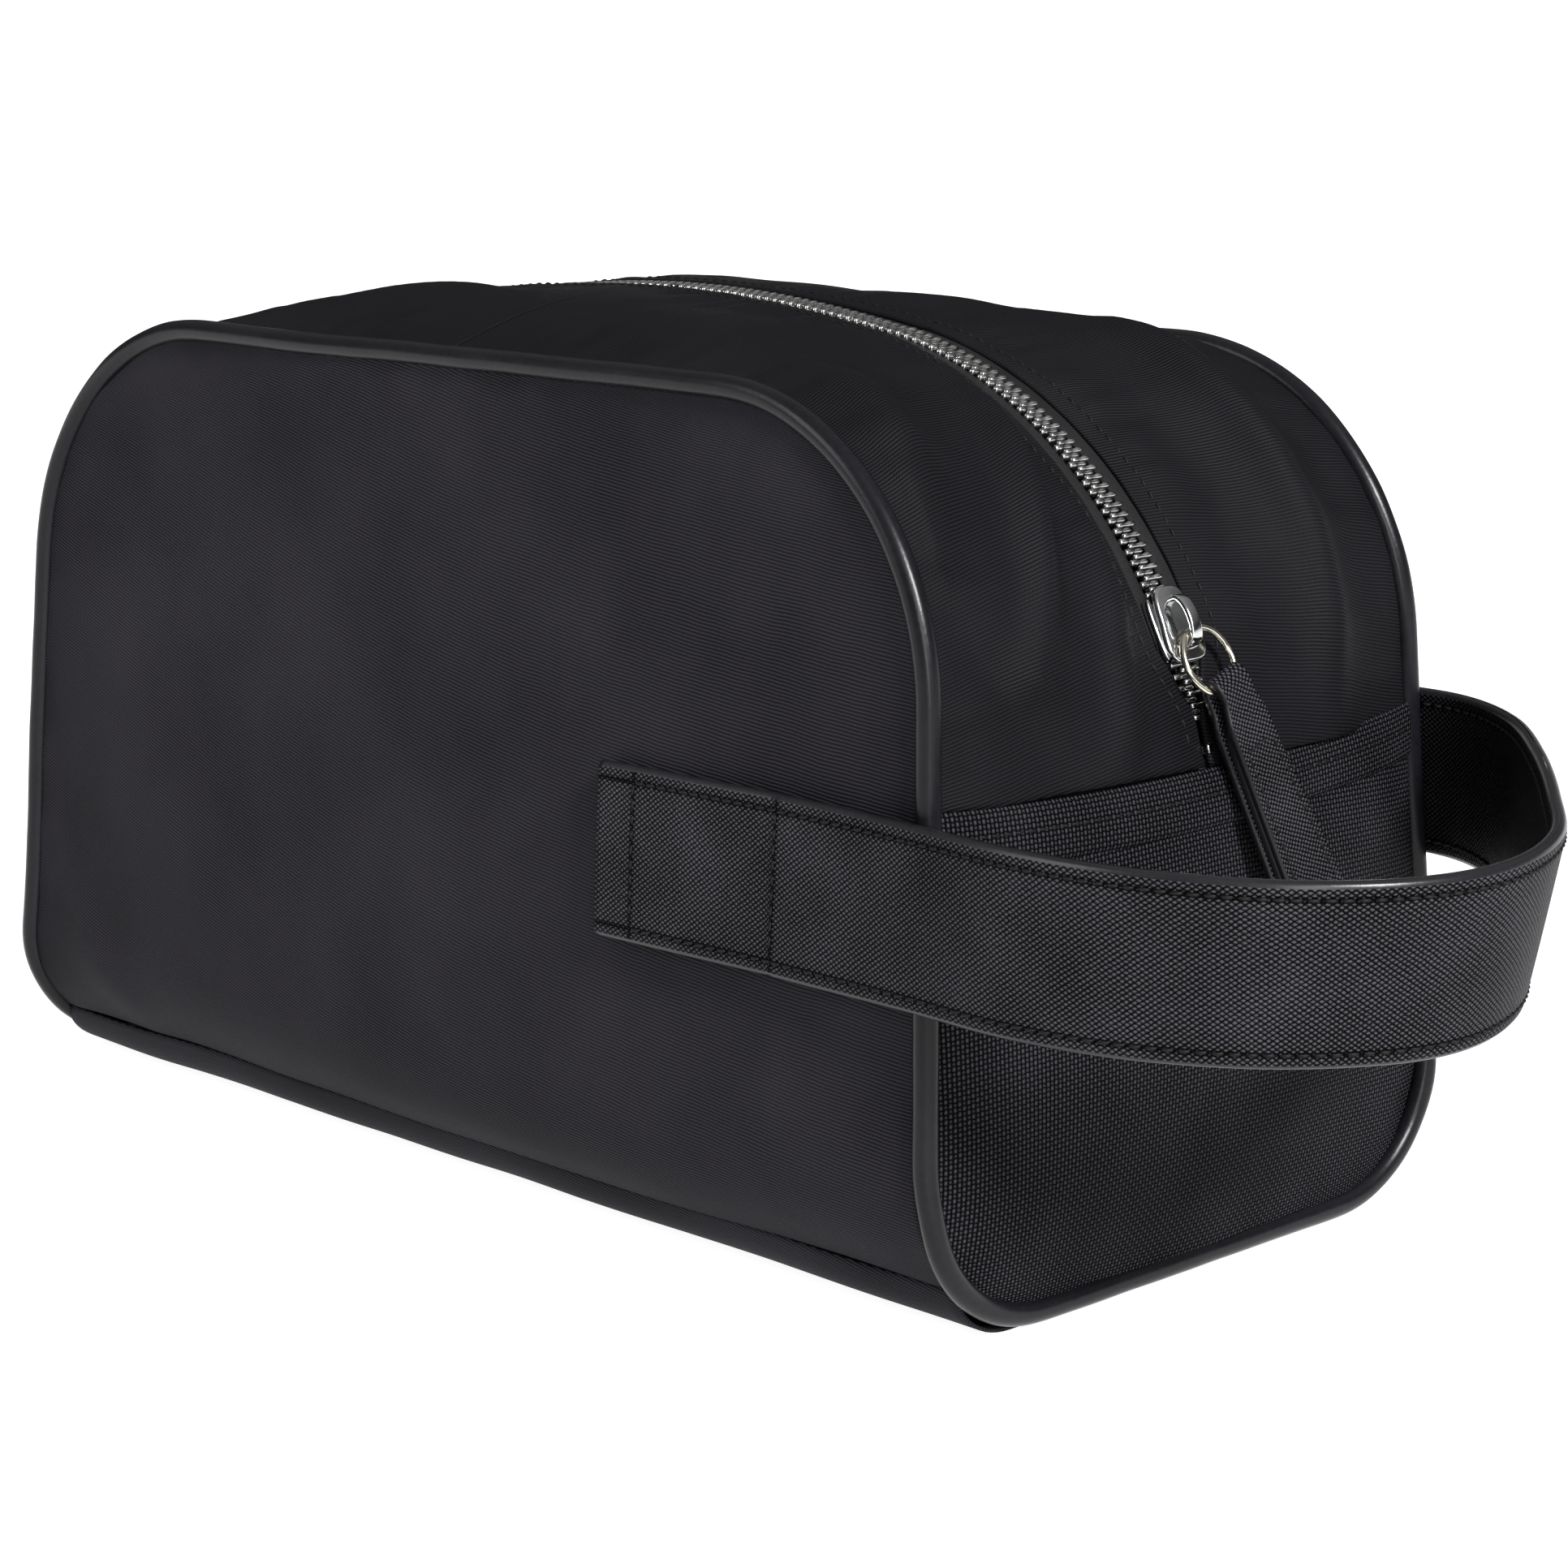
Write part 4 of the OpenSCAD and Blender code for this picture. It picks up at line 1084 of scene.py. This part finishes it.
def plate(name, x_low, x_high, outline, bevel, material):
    """Flat plate along X with rounded rims; the outline is a loop of (y, z)."""
    outline = np.array(outline, float)
    centre = outline.mean(0)
    size = np.abs(outline - centre).max(0)
    verts = []
    steps = [(x_low, 1.0), (x_low + bevel * 0.3, 0.3), (x_low + bevel, 0.0),
             (x_high - bevel, 0.0), (x_high - bevel * 0.3, 0.3), (x_high, 1.0)]
    for x, inset in steps:
        ring = centre + (outline - centre) * (1 - inset * bevel / size)
        verts.extend((x, y, z) for y, z in ring)
    return link_mesh(name, verts, ring_faces(len(steps), len(outline)), material)


def slider_outline():
    """Shield shape: broad and round where the tapes part, at the foot, narrower at the top."""
    points = []
    for a in np.linspace(0, 2 * np.pi, 64, endpoint=False):
        z = 7.0 * blunt(math.sin(a), 0.72)
        half = 4.3 + 0.9 * smooth01((2.0 - z) / 7.0)
        points.append((half * blunt(math.cos(a), 0.55), z))
    return points


def slider_parts():
    top = plate("top", 0.5, 1.9, slider_outline(), 0.45, CHROME)
    low = plate("low", -4.4, -3.0, slider_outline(), 0.45, CHROME)
    # only the roots of the neck: the teeth don't part round it as real ones do
    neck = [(1.3 * c, -4.6 + 1.9 * s) for c, s in circle(1.0, 20)]
    parts = [top, low, plate("neck_top", 0.25, 0.7, neck, 0.1, CHROME),
             plate("neck_low", -3.2, -2.75, neck, 0.1, CHROME)]
    for y in (-4.5, 4.5):
        rim = [(y + 0.7 * c, -0.2 + 5.6 * blunt(s, 0.6)) for c, s in circle(1.0, 28)]
        parts.append(plate("rim", -0.75, 0.7, rim, 0.25, CHROME))
        parts.append(plate("rim", -3.2, -2.0, rim, 0.25, CHROME))
    return moved(joined("slider_body_chrome", parts), SLIDER)


def slider_arch():
    """The bail: a flat bar bent up from the plate and down again, which the ring hangs in."""
    arc = np.linspace(0, np.pi, 28)
    rise, reach = 3.3, 4.4
    path = stacked(1.7 + rise * np.sin(arc) ** 0.55, 0, -reach * np.cos(arc))
    path = np.concatenate([path[:1] - (1.0, 0, 0), path, path[-1:] - (1.0, 0, 0)])
    section = [(0.5 * blunt(c, 0.5), 1.3 * blunt(s, 0.5)) for c, s in circle(1.0, 16)]
    return moved(tube("slider_bail_chrome", path, path, section, CHROME), SLIDER)


settle(slider_parts(), "slider", "zip_metal", "slider_body")
settle(slider_arch(), "slider", "zip_metal", "slider_bail")


def ring_piece():
    a = np.linspace(0, 2 * np.pi, 72, endpoint=False)
    path = stacked(0, RING_R * np.sin(a), -RING_R + RING_R * np.cos(a))
    outs = path - (0, 0, -RING_R)
    return moved(tube("pull_ring_wire", path, outs, circle(RING_WIRE, 16), PALE, closed=True), RING)


settle(ring_piece(), "ring", "ring_metal", "pull_ring")

PULL_LEN, PULL_W, PULL_TOP_W, NECK_W, LEAF, FILLER = 50.0, 16.0, 11.0, 8.6, 1.45, 1.3
LEG_POINTS, TURN_POINTS, STRIP_ACROSS = 46, 17, 15


def pull_half(z):
    """Half width of the puller at a distance below the ring's wire."""
    below = np.clip(-np.asarray(z, float), 0, PULL_LEN)
    body = (PULL_TOP_W + (PULL_W - PULL_TOP_W) * (below - 6) / (PULL_LEN - 6)) / 2
    neck = smooth01((below - 1.0) / 4.5)
    return NECK_W / 2 * (1 - neck) + body * neck


def puller_strip():
    """The leather strip: up the back, over the ring's wire, and down the front."""
    leg = (FILLER + LEAF) / 2
    down = np.linspace(-PULL_LEN + 0.8, -2.6, LEG_POINTS)
    a = np.linspace(0, np.pi, TURN_POINTS + 2)[1:-1]
    eye = 1.85
    over = -eye * np.cos(a) * (0.82 + 0.18 * np.sin(a))
    x = np.concatenate([np.full(LEG_POINTS, -leg), over, np.full(LEG_POINTS, leg)])
    z = np.concatenate([down, -1.9 + 4.6 * np.sin(a) ** 0.8, down[::-1]])
    half = pull_half(np.minimum(z, 0))
    end = np.clip((z + PULL_LEN) / 2.4, 0, 1)
    half = half - 1.2 * (1 - np.sqrt(end * (2 - end)))
    v = np.linspace(-1, 1, STRIP_ACROSS)
    grid = stacked(x[:, None], half[:, None] * v, z[:, None])
    run = run_along(stacked(x, z))
    coords = stacked(half[:, None] * v, run[:, None])
    outer = grid + grid_normals(grid) * (LEAF / 2 - 0.14 * v[None, :, None] ** 4)
    return cloth("puller_leather_strip", outer, [SAFFIANO, EDGE], thick=LEAF - 0.05, coords=coords)


strip = puller_strip()
leaf_faces = 2 * (2 * LEG_POINTS + TURN_POINTS - 1) * (STRIP_ACROSS - 1)    # the rest are the painted rim
is_rim = [int(k >= leaf_faces) for k in range(len(strip.data.polygons))]
strip.data.polygons.foreach_set("material_index", is_rim)
settle(moved(strip, TAB), "puller", "leather", "puller_leather")


def puller_core():
    outline = []
    for c, s in circle(1.0, 72):
        z = -27.4 + 22.3 * blunt(s, 0.25)
        outline.append(((float(pull_half(z)) - 0.25) * blunt(c, 0.25), z))
    return moved(plate("puller_core_leaf", -0.6, 0.6, outline, 0.2, EDGE), TAB)


settle(puller_core(), "puller", "filler", "puller_filler")


def puller_stitches():
    parts = []
    face = FILLER / 2 + LEAF + 0.04
    z = np.linspace(-11.0, -PULL_LEN + 2.6, 60)
    inset = pull_half(z) - 1.7
    for sign in (1, -1):
        out = np.tile([float(sign), 0, 0], (60, 1))
        for edge in (1, -1):
            line = stacked(sign * face, edge * inset, z)
            parts.append(stitches("row", line, out))
        for level in (-10.6, -PULL_LEN + 2.2):
            reach = float(pull_half(level)) - 1.5
            line = stacked(sign * face, np.linspace(-reach, reach, 20), level)
            parts.append(stitches("row", line, out[:20], pitch=2.4, length=1.9))
    return moved(joined("puller_stitches", parts), TAB)


settle(puller_stitches(), "puller", "leather")


STOP_T = 0.982


def stops():
    parts = []
    x, z = zip_at(STOP_T, -1.1)
    lean = math.pi / 2 - float(zip_angle(STOP_T))
    outline = [(1.3 * blunt(c, 0.4), 0.9 * blunt(s, 0.4)) for c, s in circle(1, 24)]
    for sx in (1, -1):
        for sy in (1, -1):
            stop = plate("stop", -1.2, 1.2, outline, 0.3, NICKEL)
            stop.data.transform(Matrix.Rotation(math.pi / 2, 4, "Y"))
            place = Matrix.Translation((sx * x, sy * 1.95, z)) @ Matrix.Rotation(sx * lean, 4, "Y")
            parts.append(moved(stop, place))
    return joined("zip_stop_clips", parts)


settle(stops(), "bag", "zip_metal", "zip_stops")
cord_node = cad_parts["piping_cord"]
cord_node.data.materials.clear()
cord_node.data.materials.append(CORD)


# ---- floor and light
def make_floor():
    sh = Shader("studio_floor", 0.7, Emission_Color=(1, 1, 1, 1), Emission_Strength=0.92)
    place = sh.place()
    colour = sh.ramp(sh.noise(place, 3.0), 0.3, 0.7, (0.3, 0.3, 0.3), (0.32, 0.32, 0.32))
    sh.finish(colour, sh.noise(place, 400.0), 0.02)
    far = 12000
    corners = [(x * far, y * far, 0) for x, y in ((-1, -1), (1, -1), (1, 1), (-1, 1))]
    floor = link_mesh("floor", corners, [(0, 1, 2, 3)], sh.mat)


def add_lamp(name, kind, power, toward, at=(0, 0, 0), **settings):
    """A lamp that shines back along the direction toward it."""
    data = bpy.data.lights.new(name, kind)
    data.energy = power
    for key, value in settings.items():
        setattr(data, key, value)
    lamp = bpy.data.objects.new(name, data)
    lamp.location = at
    lamp.rotation_euler = toward.to_track_quat("Z", "Y").to_euler()
    scene.collection.objects.link(lamp)


HORIZON, WALLS, CEILING = 1.05, 0.03, 0.35


def make_world():
    """A room with a broad bright ceiling, dim walls and a white line along the horizon."""
    world = bpy.data.worlds.new("studio")
    scene.world = world
    world.use_nodes = True
    tree = world.node_tree
    way = tree.nodes.new("ShaderNodeTexCoord")
    split = tree.nodes.new("ShaderNodeSeparateXYZ")
    ramp = tree.nodes.new("ShaderNodeValToRGB")
    stops = ramp.color_ramp.elements
    stops[0].position, stops[1].position = 0.08, 0.85
    for place in (0.12, 0.25, 0.5):
        stops.new(place)
    for stop, level in zip(stops, (HORIZON, WALLS, WALLS, 0.45 * CEILING, CEILING)):
        stop.color = (level, level, level, 1)
    tree.links.new(way.outputs["Generated"], split.inputs["Vector"])
    tree.links.new(split.outputs["Z"], ramp.inputs["Fac"])
    tree.links.new(ramp.outputs["Color"], tree.nodes["Background"].inputs["Color"])


make_floor()
make_world()
add_lamp("soft_sun", "SUN", 6.0, from_bag(80, 38), angle=math.radians(14))
for name, at, aim, wide, high, power in (("front_left_box", (-0.55, -1.15, 0.75), (0, 0, 0.08), 0.5, 0.7, 6),
                                         ("right_box", (1.1, -0.8, 0.55), (0.1, 0, 0.1), 0.35, 0.7, 7)):
    add_lamp(name, "AREA", power, Vector(at) - Vector(aim), at, shape="RECTANGLE", size=wide, size_y=high)
scene.view_settings.view_transform = "Standard"
